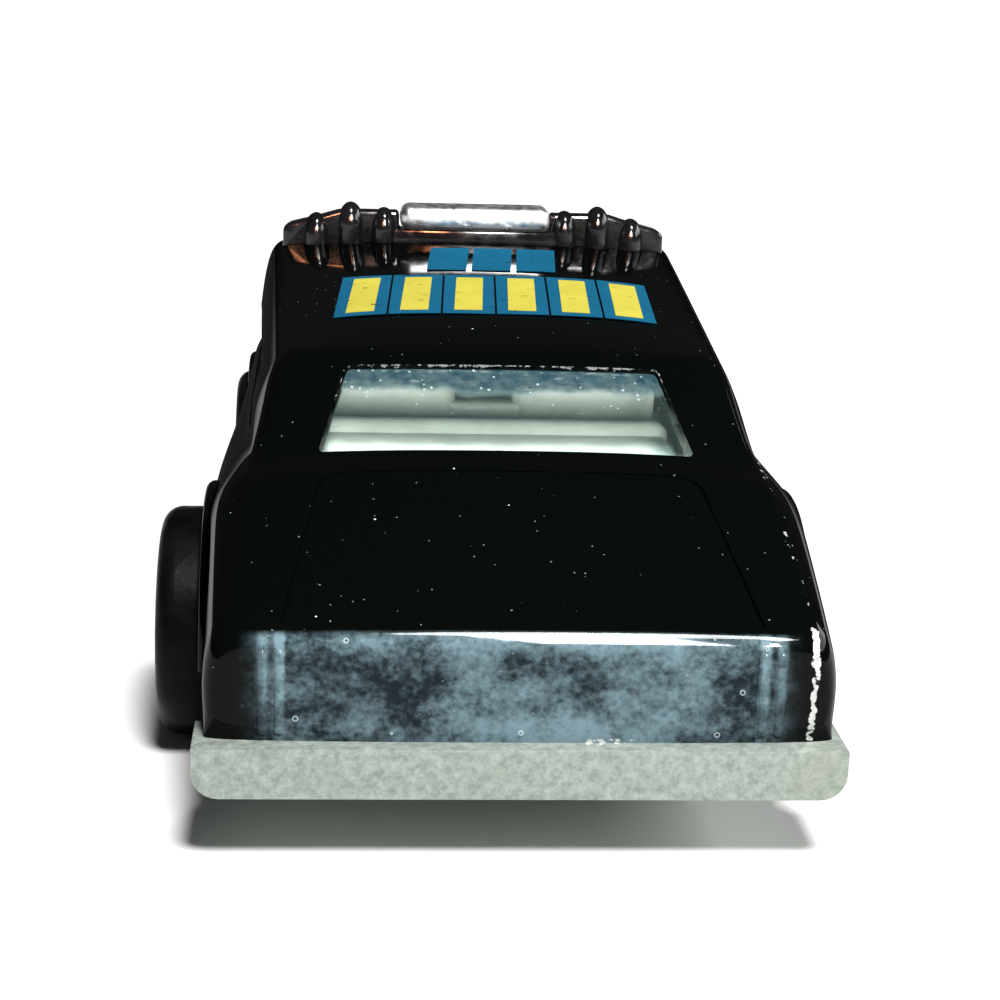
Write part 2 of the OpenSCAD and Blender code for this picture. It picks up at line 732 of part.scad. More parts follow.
module beacon(high) {
    cylinder(d = beacon_d, h = high);
    translate([0, 0, high])
        sphere(d = beacon_d);
}
function block_side(low_z) =
    let (foot_z = sill_z + roof_front_h)
    concat(
        [[siren_l / 2 + bar_gap, bar_top_z], [siren_l / 2 + bar_gap, foot_z + block_h]],
        [for (s = block_shares) [bar_l / 2 * s[0], foot_z + block_h * s[1]]],
        [[bar_l / 2, low_z]]
    );
module bar_body(low_z) {
    side = block_side(low_z);
    translate([0, bar_y + bar_d / 2, 0])
        rotate([90, 0, 0])
            linear_extrude(bar_d)
                polygon(concat(side, [for (i = [len(side) - 1:-1:0]) [-side[i][0], side[i][1]]]));
}
module light_bar() color("#101012") {
    difference() {
        union() {
            bar_body(roof_at(bar_y) - wall / 2);
            for (side = [-1, 1], i = [0:len(beacon_place_shares) - 1])
                translate([side * bar_l / 2 * beacon_place_shares[i], bar_y, bar_top_z - bar_h / 2])
                    beacon(beacon_h * beacon_height_shares[i] - bar_h / 2 - beacon_d / 2);
        }
        loft(cabin_rings(-bar_gap, 0));
        for (side = [-1, 1])
            translate([side * siren_l * pin_place_share, bar_y, bar_top_z - pin_l])
                cylinder(d = pin_d + peg_gap * 2, h = pin_l + overrun);
    }
    for (side = [-1, 1])
        translate([side * bar_l / 2 * peg_place_share, bar_y, peg_bottom_z])
            cylinder(d = peg_d, h = bar_top_z - bar_h / 2 - peg_bottom_z);
}
module siren_bar() color("#e4e6e8") {
    translate([-siren_l / 2, bar_y, bar_top_z])
        rotate([90, 0, 90])
            linear_extrude(siren_l)
                polygon(rounded([
                    [-bar_d / 2, 0], [bar_d / 2, 0], [bar_d / 2, siren_h], [-bar_d / 2, siren_h]
                ], siren_h / 3));
    for (side = [-1, 1])
        translate([side * siren_l * pin_place_share, bar_y, bar_top_z - pin_l])
            cylinder(d = pin_d, h = pin_l + overrun);
}

module axle(slide, y, z) color("#c9ccd0") {
    reach = track_w / 2 - hub_dish + end_gap;
    translate([slide, y, z])
        rotate([0, 90, 0]) {
            cylinder(d = axle_d, h = reach * 2, center = true);
            for (side = [-1, 1])
                translate([0, 0, side * (reach + axle_head_t / 2)])
                    cylinder(d = axle_head_d, h = axle_head_t, center = true);
        }
}

// Wheel profiles turn about the axle: distance from the axle, then distance from the inner face
function tyre_profile(d, w) =
    let (r0 = d / 2 - tyre_side_h, r1 = d / 2, q = tyre_round)
    concat(
        [[r0, 0], [r1 - q, 0]],
        [for (k = [1:5]) [r1 - q + q * sin(18 * k), q - q * cos(18 * k)]],
        [for (k = [0:5]) [r1 - q + q * cos(18 * k), w - q + q * sin(18 * k)]],
        [[r0, w]]
    );
module wheel_place(side, slide, y, z, w) {
    translate([slide + side * (track_w / 2 - w), y, z])
        rotate([0, side * 90, 0])
            children();
}
module tyre(side, slide, y, d, w) color("#17171a")
    wheel_place(side, slide, y, d / 2, w)
        rotate_extrude()
            polygon(tyre_profile(d, w));
function hub_profile(rim_r, boss_r, w) =
    let (face = w - hub_dish)
    [
        [axle_d / 2 + run_gap, 0], [boss_r, 0], [boss_r, face - disc_t],
        [rim_r - rim_t, face - disc_t], [rim_r - rim_t, 0], [rim_r, 0],
        [rim_r, w], [rim_r - rim_t, w], [rim_r - rim_t, face], [axle_d / 2 + run_gap, face]
    ];
// Windows between the spokes: margin round the boss, reach towards the rim, rounding
boss_edge = 0.25;
hub_window_share = 0.8;
hub_window_round_share = 0.3;
function hub_window_half(r) = r * tan(180 / spokes) - spoke_w / 2;
module hub_window(r0, r1)
    polygon(rounded([
        [r0, -hub_window_half(r0)], [r1, -hub_window_half(r1)],
        [r1, hub_window_half(r1)], [r0, hub_window_half(r0)]
    ], (r1 - r0) * hub_window_round_share));
module hub(side, slide, y, d, w) color("#d4d6d8") {
    rim_r = d / 2 - tyre_side_h - tyre_gap;
    boss_r = axle_d / 2 + run_gap + hub_wall;
    wheel_place(side, slide, y, d / 2, w)
        difference() {
            rotate_extrude()
                polygon(hub_profile(rim_r, boss_r, w));
            for (i = [0:spokes - 1])
                rotate([0, 0, 360 * i / spokes])
                    translate([0, 0, w - hub_dish - disc_t - overrun])
                        linear_extrude(disc_t + overrun * 2)
                            hub_window(boss_r + boss_edge, (rim_r - rim_t) * hub_window_share);
        }
}

body_shell();
base_plate();
windows();
interior();
light_bar();
siren_bar();
axle(side_play, front_axle_y, front_axle_z);  // front_axle
axle(-side_play, -rear_axle_y, rear_axle_z);  // rear_axle
tyre(-1, side_play, front_axle_y, front_tyre_d, front_tyre_w);  // front_left_tyre
tyre(1, side_play, front_axle_y, front_tyre_d, front_tyre_w);  // front_right_tyre
tyre(-1, -side_play, -rear_axle_y, rear_tyre_d, rear_tyre_w);  // rear_left_tyre
tyre(1, -side_play, -rear_axle_y, rear_tyre_d, rear_tyre_w);  // rear_right_tyre
hub(-1, side_play, front_axle_y, front_tyre_d, front_tyre_w);  // front_left_hub
hub(1, side_play, front_axle_y, front_tyre_d, front_tyre_w);  // front_right_hub
hub(-1, -side_play, -rear_axle_y, rear_tyre_d, rear_tyre_w);  // rear_left_hub
hub(1, -side_play, -rear_axle_y, rear_tyre_d, rear_tyre_w);  // rear_right_hub
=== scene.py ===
"""Looks of a die-cast toy police car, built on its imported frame.

Sizes are in millimetres and become metres where a mesh is placed. +Y is forward, +X the car's right,
+Z up, and the origin lies on the ground under the car's middle.
"""
import logging
import math
from collections.abc import Callable, Iterator, Sequence
from contextlib import contextmanager
from dataclasses import dataclass
from enum import Enum

import bmesh
import bpy
from mathutils import Matrix, Vector


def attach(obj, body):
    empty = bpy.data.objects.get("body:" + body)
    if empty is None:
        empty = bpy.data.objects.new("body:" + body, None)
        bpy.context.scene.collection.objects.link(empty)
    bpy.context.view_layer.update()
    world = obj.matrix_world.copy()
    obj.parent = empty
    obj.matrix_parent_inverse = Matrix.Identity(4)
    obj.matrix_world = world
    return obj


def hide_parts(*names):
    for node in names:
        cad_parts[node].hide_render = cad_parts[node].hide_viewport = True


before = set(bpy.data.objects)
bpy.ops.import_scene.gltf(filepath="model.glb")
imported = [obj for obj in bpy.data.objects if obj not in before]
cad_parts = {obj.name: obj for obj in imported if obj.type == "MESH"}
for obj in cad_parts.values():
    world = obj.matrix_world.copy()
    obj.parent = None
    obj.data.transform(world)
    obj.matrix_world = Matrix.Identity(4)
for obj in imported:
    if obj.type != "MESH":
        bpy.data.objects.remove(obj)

Object = bpy.types.Object
Material = bpy.types.Material
Socket = bpy.types.NodeSocket
Colour = tuple[float, float, float]
Point = tuple[float, float, float]
Flat = tuple[float, float]

MM = 0.001
MERGE = 0.0005
SLIVER = 0.0015
SIDES = (-1, 1)
CHASSIS = "chassis"
TAIL_Y = -35.05
RIB_X = (10.7, 11.45)
log = logging.getLogger("toy_car")


class Zone(Enum):
    """Parts of the body along the car."""

    REAR = "rear window"
    ROOF = "roof"
    FRONT = "windscreen"
    DECK = "deck or hood"


class Slot(Enum):
    """The record's material slots for the modelled pieces."""

    PAINT = "black_paint"
    ZINC = "bare_zinc"
    CLEAR = "clear_plastic"
    PALE = "pale_plastic"
    BLACK = "black_plastic"
    PLATING = "plating"
    TYRE = "tyre_plastic"


def between(low: float, high: float, share: float) -> float:
    """Returns the value at a share of the way from low to high."""
    return low + (high - low) * share


def curve_at(stops: Sequence[Flat], place: float) -> float:
    """Reads a smooth curve through stops that never swings past them.

    Args:
        stops: Places in rising order, each with its value.
        place: Where the curve is read; past an end it keeps that end's value.

    Returns:
        The curve's value at the place.
    """
    if place <= stops[0][0]:
        return stops[0][1]
    if place >= stops[-1][0]:
        return stops[-1][1]
    slopes = [(b[1] - a[1]) / (b[0] - a[0]) for a, b in zip(stops, stops[1:])]
    index = max(i for i in range(len(slopes)) if stops[i][0] <= place)

    def tangent(i: int) -> float:
        """Returns the curve's slope at a stop."""
        if i == 0 or i == len(slopes):
            return slopes[min(i, len(slopes) - 1)]
        before, after = slopes[i - 1], slopes[i]
        return 2 * before * after / (before + after) if before * after > 0 else 0.0

    (x0, y0), (x1, y1) = stops[index], stops[index + 1]
    span = x1 - x0
    t = (place - x0) / span
    rise = (y1 - y0) * t * t * (3 - 2 * t) + y0
    return rise + span * (tangent(index) * t * (1 - t) ** 2 - tangent(index + 1) * t * t * (1 - t))


def deselect() -> None:
    """Leaves edit mode and clears the selection."""
    if bpy.context.mode != "OBJECT":
        bpy.ops.object.mode_set(mode="OBJECT")
    bpy.ops.object.select_all(action="DESELECT")


def activate(piece: Object) -> None:
    """Makes a piece the only selected and the active one."""
    deselect()
    piece.select_set(True)
    bpy.context.view_layer.objects.active = piece


def start(name: str, add: Callable, **settings: object) -> Object:
    """Adds a primitive and names it.

    Args:
        name: Name of the new object and its mesh.
        add: Operator that adds the primitive.
        settings: The operator's settings.

    Returns:
        The new object, with its place in its mesh.
    """
    deselect()
    add(**settings)
    piece = bpy.context.object
    piece.name = piece.data.name = name
    bpy.ops.object.transform_apply(location=True, rotation=True, scale=True)
    return piece


def modify(piece: Object, kind: str, **settings: object) -> None:
    """Adds a modifier with its settings and applies it."""
    activate(piece)
    modifier = piece.modifiers.new(kind.lower(), kind)
    for key, value in settings.items():
        setattr(modifier, key, value)
    bpy.ops.object.modifier_apply(modifier=modifier.name)


def smooth(piece: Object, levels: int) -> None:
    """Subdivides a piece to a smooth surface."""
    modify(piece, "SUBSURF", levels=levels, render_levels=levels)


def combine(piece: Object, operation: str, *tools: Object) -> Object:
    """Cuts, joins or meets a piece with tools, one after the other.

    Args:
        piece: Closed mesh that changes.
        operation: DIFFERENCE, UNION or INTERSECT.
        tools: Closed meshes that are used up.

    Returns:
        The changed piece.
    """
    for tool in tools:
        modify(piece, "BOOLEAN", object=tool, operation=operation, solver="MANIFOLD")
        bpy.data.objects.remove(tool)
    return piece


def round_edges(piece: Object, width: float, segments: int, degrees: float) -> None:
    """Rounds a piece's edges that are sharper than an angle, by a width in millimetres."""
    modify(
        piece, "BEVEL", width=width * MM, segments=segments, limit_method="ANGLE", angle_limit=math.radians(degrees),
    )


@contextmanager
def editing(piece: Object) -> Iterator[None]:
    """Opens a piece in edit mode with everything selected, and closes it after the block."""
    activate(piece)
    bpy.ops.object.mode_set(mode="EDIT")
    bpy.ops.mesh.select_all(action="SELECT")
    yield
    bpy.ops.object.mode_set(mode="OBJECT")


def join(name: str, parts: Sequence[Object]) -> Object:
    """Joins parts into one named piece."""
    activate(parts[0])
    for part in parts:
        part.select_set(True)
    bpy.ops.object.join()
    piece = bpy.context.object
    piece.name = piece.data.name = name
    return piece


def shade(piece: Object, degrees: float = 40) -> Object:
    """Clears a finished piece's slivers, shades it smooth apart from edges sharper than an angle, and returns it."""
    with editing(piece):
        bpy.ops.mesh.remove_doubles(threshold=SLIVER * MM)
        bpy.ops.mesh.dissolve_degenerate(threshold=SLIVER * MM)
        bpy.ops.mesh.select_all(action="SELECT")
        bpy.ops.mesh.delete_loose()
    bpy.ops.object.shade_smooth_by_angle(angle=math.radians(degrees))
    return piece


def face_out(piece: Object) -> Object:
    """Merges a piece's doubled points, turns its faces outwards and returns it."""
    with editing(piece):
        bpy.ops.mesh.remove_doubles(threshold=MERGE * MM)
        bpy.ops.mesh.normals_make_consistent(inside=False)
    return piece


def ring_of(name: str, places: Sequence[Vector], fill: str = "NGON") -> Object:
    """Returns a ring through places in metres, filled or with NOTHING in it."""
    piece = start(name, bpy.ops.mesh.primitive_circle_add, vertices=len(places), fill_type=fill)
    for vertex, place in zip(piece.data.vertices, places):
        vertex.co = place
    return piece


def loft(name: str, rings: Sequence[Sequence[Vector]]) -> Object:
    """Grows a closed tube from a filled circle, extruding its end face to each next ring.

    Args:
        name: Name of the new object.
        rings: Rings of equally many points, in metres.

    Returns:
        The closed tube.
    """
    piece = ring_of(name, rings[0])
    with editing(piece):
        bpy.ops.mesh.select_mode(type="FACE")
        for ring, following in zip(rings, rings[1:]):
            bpy.ops.mesh.extrude_region_move()
            grown = bmesh.from_edit_mesh(piece.data)
            for vertex in [v for v in grown.verts if v.select]:
                nearest = min(range(len(ring)), key=lambda i: (ring[i] - vertex.co).length_squared)
                vertex.co = following[nearest]
            bmesh.update_edit_mesh(piece.data)
    return face_out(piece)


def ribbon(name: str, line: Sequence[Vector], depth: Vector, width: float) -> Object:
    """Makes a thin wall that stands on an open line.

    Args:
        name: Name of the new object.
        line: Points of the line, in metres.
        depth: From the wall's foot to its top.
        width: Thickness of the wall, in metres.

    Returns:
        The closed wall.
    """
    rings = []
    for i, place in enumerate(line):
        along = line[min(i + 1, len(line) - 1)] - line[max(i - 1, 0)]
        aside = along.cross(depth).normalized() * width / 2
        rings.append([place - aside, place + aside, place + aside + depth, place - aside + depth])
    return loft(name, rings)


def crease(piece: Object, sharp: Callable[[Vector, Vector], bool]) -> None:
    """Creases the edges whose two ends pass a test."""
    layer = piece.data.attributes.new("crease_edge", "FLOAT", "EDGE")
    points = [vertex.co for vertex in piece.data.vertices]
    for edge in piece.data.edges:
        layer.data[edge.index].value = float(sharp(*(points[i] for i in edge.vertices)))


def prism(name: str, corners: Sequence[Vector], rounding: float, out: Vector, back: Vector) -> Object:
    """Makes a plate with rounded corners that runs through a surface.

    Args:
        name: Name of the new object.
        corners: Four corners in the plate's middle plane, in metres.
        rounding: Radius of the corners, in metres.
        out: From the middle plane to the outer face.
        back: From the middle plane to the inner face.

    Returns:
        The closed plate.
    """
    piece = ring_of(name, corners)
    with editing(piece):
        bpy.ops.mesh.bevel(offset=rounding, segments=6, affect="VERTICES")
        bpy.ops.mesh.select_all(action="SELECT")
        bpy.ops.transform.translate(value=back)
        bpy.ops.mesh.extrude_region_move(TRANSFORM_OT_translate={"value": out - back})
    return face_out(piece)


def turned(name: str, profile: Sequence[Flat], centre: Point, axis: Point, steps: int = 72) -> Object:
    """Spins a closed outline about an axis.

    Args:
        name: Name of the new object.
        profile: Outline as distance from the axis and place along it, in millimetres.
        centre: Where the axis meets the outline's zero, in millimetres.
        axis: Direction of the axis, one unit long.
        steps: Steps round the turn.

    Returns:
        The turned piece.
    """
    middle, along = Vector(centre), Vector(axis)
    outward = Vector((0, 0, 1)) if abs(along.z) < 0.5 else Vector((1, 0, 0))
    places = [(middle + along * place + outward * radius) * MM for radius, place in profile]
    piece = ring_of(name, places, "NOTHING")
    with editing(piece):
        bpy.ops.mesh.spin(steps=steps, angle=math.tau, center=middle * MM, axis=axis)
    return face_out(piece)


def block(name: str, low: Point, high: Point, rounding: float, segments: int = 4) -> Object:
    """Makes a box with rounded edges.

    Args:
        name: Name of the new object.
        low: Lowest corner, in millimetres.
        high: Highest corner, in millimetres.
        rounding: Radius of its edges, in millimetres.
        segments: Facets across a rounded edge.

    Returns:
        The rounded box.
    """
    first, last = Vector(low) * MM, Vector(high) * MM
    piece = start(name, bpy.ops.mesh.primitive_cube_add, size=1, location=(first + last) / 2, scale=last - first)
    with editing(piece):
        bpy.ops.mesh.bevel(offset=rounding * MM, segments=segments, affect="EDGES")
    return piece


def outline_bar(name: str, outline: Sequence[Flat], y: Flat, rounding: float) -> Object:
    """Extrudes an upright outline along the car and rounds its edges.

    Args:
        name: Name of the new object.
        outline: Points across the car and up, in millimetres.
        y: Where it starts and ends along the car, in millimetres.
        rounding: Width of its rounded edges, in millimetres.

    Returns:
        The closed bar.
    """
    piece = ring_of(name, [Vector((x, y[0], z)) * MM for x, z in outline])
    with editing(piece):
        bpy.ops.mesh.extrude_region_move(TRANSFORM_OT_translate={"value": (0, (y[1] - y[0]) * MM, 0)})
    round_edges(face_out(piece), rounding, 4, 12)
    return piece


def arc(centre: Flat, radius: float, first: float, last: float, steps: int = 6) -> list[Flat]:
    """Returns points on an arc from one angle to another, in degrees."""
    angles = [math.radians(between(first, last, i / steps)) for i in range(steps + 1)]
    return [(centre[0] + radius * math.cos(a), centre[1] + radius * math.sin(a)) for a in angles]


def cut_level(piece: Object, z: float, upper: bool) -> Object:
    """Cuts a piece level at a height in millimetres, closes the cut and returns the upper or the lower part."""
    with editing(piece):
        bpy.ops.mesh.bisect(
            plane_co=(0, 0, z * MM), plane_no=(0, 0, 1), use_fill=True, clear_inner=upper, clear_outer=not upper,
        )
    return piece


def softened(node: str, name: str, width: float) -> Object:
    """Copies a node of the frame, dissolves its flat triangles and rounds its edges.

    Args:
        node: Name of the node.
        name: Name of the new piece.
        width: Width of the rounded edges, in millimetres; 0 leaves them sharp.

    Returns:
        The rounded copy.
    """
    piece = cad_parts[node].copy()
    piece.data = piece.data.copy()
    piece.name = piece.data.name = name
    bpy.context.scene.collection.objects.link(piece)
    piece.parent = None
    for key in list(piece.keys()):
        del piece[key]
    piece.data.materials.clear()
    with editing(face_out(piece)):
        bpy.ops.mesh.dissolve_limited(angle_limit=math.radians(1))
    if width:
        round_edges(piece, width, 3, 30)
    return shade(piece)


class Graph:
    """Nodes of one material; each call adds a node and returns its output."""

    def __init__(self, name: str, **values: object) -> None:
        """Starts a material and sets its shader's plain values."""
        self.material = bpy.data.materials.new(name)
        self.material.use_nodes = True
        self.nodes = self.material.node_tree.nodes
        self.links = self.material.node_tree.links
        self.shader = self.nodes["Principled BSDF"]
        self.place = self.nodes.new("ShaderNodeTexCoord").outputs["Object"]
        for key, value in values.items():
            self.set(key, value)

    def set(self, key: str, value: object) -> None:
        """Sets or links one input of the shader, named with underscores for spaces."""
        self.feed(self.shader.inputs[key.replace("_", " ")], value)

    def feed(self, socket: Socket, value: object) -> None:
        """Links a socket to an output, or sets it to a number or colour."""
        if isinstance(value, Socket):
            self.links.new(value, socket)
        elif isinstance(value, tuple) and len(value) == 3 and socket.type == "RGBA":
            socket.default_value = (*value, 1)
        else:
            socket.default_value = value

    def node(self, kind: str, output: str | int, inputs: dict[str | int, object], **settings: str) -> Socket:
        """Adds a node and feeds it.

        Args:
            kind: Kind of node.
            output: The output that is wanted.
            inputs: Values or outputs of other nodes, by input.
            settings: Options of the node.

        Returns:
            The wanted output.
        """
        node = self.nodes.new(f"ShaderNode{kind}")
        for key, value in settings.items():
            setattr(node, key, value)
        for key, value in inputs.items():
            self.feed(node.inputs[key], value)
        return node.outputs[output]

    def noise(self, size: float, detail: float = 3, rough: float = 0.55, place: Socket | None = None) -> Socket:
        """Returns cloudy noise with features of a size in millimetres."""
        inputs = {"Vector": place or self.place, "Scale": 1 / (size * MM), "Detail": detail, "Roughness": rough}
        return self.node("TexNoise", "Fac", inputs)

    def cells(self, size: float) -> tuple[Socket, Socket]:
        """Returns the distance to the nearest of scattered points, and that point's random value."""
        distance = self.node("TexVoronoi", "Distance", {"Vector": self.place, "Scale": 1 / (size * MM)})
        return distance, self.node("SeparateColor", "Red", {"Color": distance.node.outputs["Color"]})

    def stretched(self, scale: Point) -> Socket:
        """Returns the place stretched along each axis."""
        return self.node("Mapping", "Vector", {"Vector": self.place, "Scale": scale})

    def axis(self, letter: str) -> Socket:
        """Returns the place along X, Y or Z, in metres."""
        return self.node("SeparateXYZ", letter, {"Vector": self.place})

    def painted(self, name: str) -> Socket:
        """Returns a number that the mesh carries."""
        return self.node("Attribute", "Fac", {}, attribute_name=name)

    def math(self, operation: str, first: object, second: object = 0.0) -> Socket:
        """Returns a sum, product or other of two values."""
        return self.node("Math", 0, {0: first, 1: second}, operation=operation)

    def ramp(self, value: Socket, low: float, high: float, first: float = 0, last: float = 1) -> Socket:
        """Returns a soft step from first to last as a value goes from low to high."""
        inputs = {"Value": value, "From Min": low, "From Max": high, "To Min": first, "To Max": last}
        return self.node("MapRange", "Result", inputs, interpolation_type="SMOOTHSTEP")

    def span(self, value: Socket, places: Flat, first: float = 0, last: float = 1) -> Socket:
        """Returns a soft step from first to last between two places in millimetres."""
        return self.ramp(value, places[0] * MM, places[1] * MM, first, last)

    def mix(self, share: Socket, first: object, second: object) -> Socket:
        """Returns a colour mixed from two by a share."""
        return self.node("Mix", 2, {"Factor": share, 6: first, 7: second}, data_type="RGBA")

    def facing(self) -> Socket:
        """Returns 0 where the surface is seen straight on, up to 1 where it is seen edge on."""
        return self.node("LayerWeight", "Facing", {})

    def bump(self, height: Socket, depth: float, *inputs: str) -> None:
        """Roughens the surface, or the named layers of it, by a height that spans a depth in millimetres."""
        normal = self.node("Bump", "Normal", {"Height": height, "Distance": depth * MM})
        for key in inputs or ("Normal",):
            self.links.new(normal, self.shader.inputs[key])


@dataclass(frozen=True)
class GlossPaint:
    """Black gloss paint over zinc, with chips, dust and a smeared tail; the tail panel carries a painted reflection
    and glow, and the tail's foot a painted highlight.
    """

    name: str = "black_gloss_paint"
    black: Colour = (0.0004, 0.0006, 0.0005)
    zinc: Colour = (0.5, 0.51, 0.49)
    dust: Colour = (0.2, 0.24, 0.25)
    # Tail panel colours: a faint film and a paler haze, partly dust and partly painted reflection; the painted glow
    # on the tail peaks a little right of the middle.
    panel_film_and_reflection: Colour = (0.0025, 0.0042, 0.0055)
    haze_and_reflection: Colour = (0.05, 0.076, 0.086)
    tail_z: Flat = (5.6, 10.4)
    tail_x: Flat = (10.2, 12.6)
    painted_glow_x: float = 2.5

    def material(self) -> Material:
        """Returns the paint's material; it reads the mesh's wear values, which also hold a painted highlight at the
        tail's foot.
        """
        graph = Graph(self.name, Specular_IOR_Level=0.0, Coat_IOR=1.2, Coat_Roughness=0.05)
        ragged = graph.noise(0.45, 5, 0.7)
        # Bare zinc where the paint is worn, and along the tail's foot as a painted highlight.
        chips_and_glint = graph.ramp(graph.math("ADD", graph.painted("wear_and_glint"), graph.math("MULTIPLY", ragged, 0.9)), 1.04, 1.08)
        fine_dust = graph.math("MULTIPLY", self.specks(graph, 0.5, 0.5, 0.1), 0.22)
        specks = graph.math("MAXIMUM", fine_dust, self.specks(graph, 1.3, 0.55, 0.042))
        panel = self.panel(graph)
        smear_and_reflection = self.smear_and_reflection(graph, panel)
        # Tail panel: a faint bluish film and a paler haze, partly dust and partly painted reflection.
        tint = graph.mix(panel, self.black, self.panel_film_and_reflection)
        tint = graph.mix(smear_and_reflection, tint, self.haze_and_reflection)
        tint = graph.mix(graph.math("MAXIMUM", specks, self.rings(graph, 1.1, panel)), tint, self.dust)
        graph.set("Base_Color", graph.mix(chips_and_glint, tint, self.zinc))
        graph.set("Metallic", chips_and_glint)
        graph.set("Roughness", graph.ramp(ragged, 0.3, 0.7, 0.3, 0.55))
        gloss = graph.ramp(graph.facing(), 0.72, 0.88, 1, 0.02)
        gloss = graph.math("MULTIPLY", gloss, graph.ramp(panel, 0, 1, 1, 0.75))
        bare = graph.math("MAXIMUM", chips_and_glint, specks)
        graph.set("Coat_Weight", graph.math("MULTIPLY", gloss, graph.math("SUBTRACT", 1.0, bare)))
        level = graph.math("SUBTRACT", graph.math("MULTIPLY", graph.noise(1.1, 2), 0.12), chips_and_glint)
        graph.bump(level, 0.02, "Normal", "Coat Normal")
        return graph.material

    def panel(self, graph: Graph) -> Socket:
        """Returns where the tail panel is, which carries the painted reflection and smear."""
        behind = graph.span(graph.axis("Y"), (TAIL_Y + 0.2, TAIL_Y + 0.5), 1, 0)
        aside = graph.math("ABSOLUTE", graph.axis("X"))
        return graph.math("MULTIPLY", behind, graph.span(aside, self.tail_x, 1, 0))

    def smear_and_reflection(self, graph: Graph, panel: Socket) -> Socket:
        """Returns the tail's smear and painted light: clouds that are partly dust and partly painted reflection, a
        painted glow by the upper edge and by the foot, and painted highlights on the ribs.
        """
        # Clouds: partly dust, partly painted reflection on the tail panel.
        broad = graph.noise(1.7, 6, 0.66, graph.stretched((0.7, 1, 1)))
        fine = graph.noise(0.33, 4, 0.62)
        height = graph.axis("Z")
        # Painted glow: paler near the tail's upper edge and its foot, strongest a little right of the middle.
        off = graph.math("ABSOLUTE", graph.math("SUBTRACT", graph.axis("X"), self.painted_glow_x * MM))
        near = graph.span(off, (2, 9), 1, 0.15)
        low, high = self.tail_z
        upper = graph.span(height, (high - 1.6, high), 0.08, 0.3)
        lower = graph.span(height, (low, low + 1.6), 0.15, 0)
        lift = graph.math("MULTIPLY", graph.math("ADD", upper, lower), near)
        total = graph.math("ADD", graph.math("ADD", broad, graph.math("MULTIPLY", fine, 0.5)), lift)
        cloud = graph.math("MULTIPLY", graph.ramp(total, 0.62, 1.12), panel)
        # Painted highlights: paler upright bands along the tail ribs.
        aside = graph.math("ABSOLUTE", graph.axis("X"))
        ribs = None
        for x in RIB_X:
            away = graph.math("ABSOLUTE", graph.math("SUBTRACT", aside, x * MM))
            rib = graph.span(away, (0.12, 0.34), 1, 0)
            ribs = rib if ribs is None else graph.math("MAXIMUM", ribs, rib)
        fade = graph.span(height, self.tail_z, 0.35, 1)
        ribs = graph.math("MULTIPLY", graph.math("MULTIPLY", ribs, fade), panel)
        return graph.math("ADD", cloud, graph.math("MULTIPLY", ribs, graph.ramp(fine, 0.3, 0.7, 0.6, 1.2)))

    def specks(self, graph: Graph, spread: float, rare: float, reach: float) -> Socket:
        """Returns scattered dust dots: their spread in millimetres, how rare and how large they are."""
        distance, chance = graph.cells(spread)
        return graph.math("LESS_THAN", distance, graph.ramp(chance, rare, 1, 0.0, reach))

    def rings(self, graph: Graph, spread: float, panel: Socket) -> Socket:
        """Returns small dried rings on the hazy panel."""
        distance, chance = graph.cells(spread)
        outer = graph.ramp(chance, 0.35, 1, 0.0, 0.14)
        inner = graph.math("SUBTRACT", outer, 0.05)
        within = graph.math("LESS_THAN", distance, outer)
        ring = graph.math("MULTIPLY", within, graph.math("GREATER_THAN", distance, inner))
        return graph.math("MULTIPLY", graph.math("MULTIPLY", ring, panel), 0.45)


@dataclass(frozen=True)
class BareZinc:
    """Unpainted cast zinc, dull and mottled."""

    name: str = "bare_cast_zinc"
    light: Colour = (0.47, 0.525, 0.47)
    dark: Colour = (0.215, 0.25, 0.225)
    stain: Colour = (0.35, 0.375, 0.3)

    def material(self) -> Material:
        """Returns the casting's material."""
        graph = Graph(self.name)
        mottle = graph.ramp(graph.noise(0.5, 6, 0.75), 0.25, 0.75)
        tint = graph.mix(mottle, self.dark, self.light)
        tint = graph.mix(graph.ramp(graph.noise(7, 3), 0.5, 0.8, 0, 0.5), tint, self.stain)
        graph.set("Base_Color", tint)
        graph.set("Metallic", 0.25)
        graph.set("Roughness", graph.ramp(graph.noise(0.9, 4), 0.3, 0.7, 0.42, 0.62))
        pits = graph.math("ADD", graph.noise(0.35, 3), graph.math("MULTIPLY", graph.noise(1.6, 3), 0.8))
        graph.bump(pits, 0.05)
        return graph.material


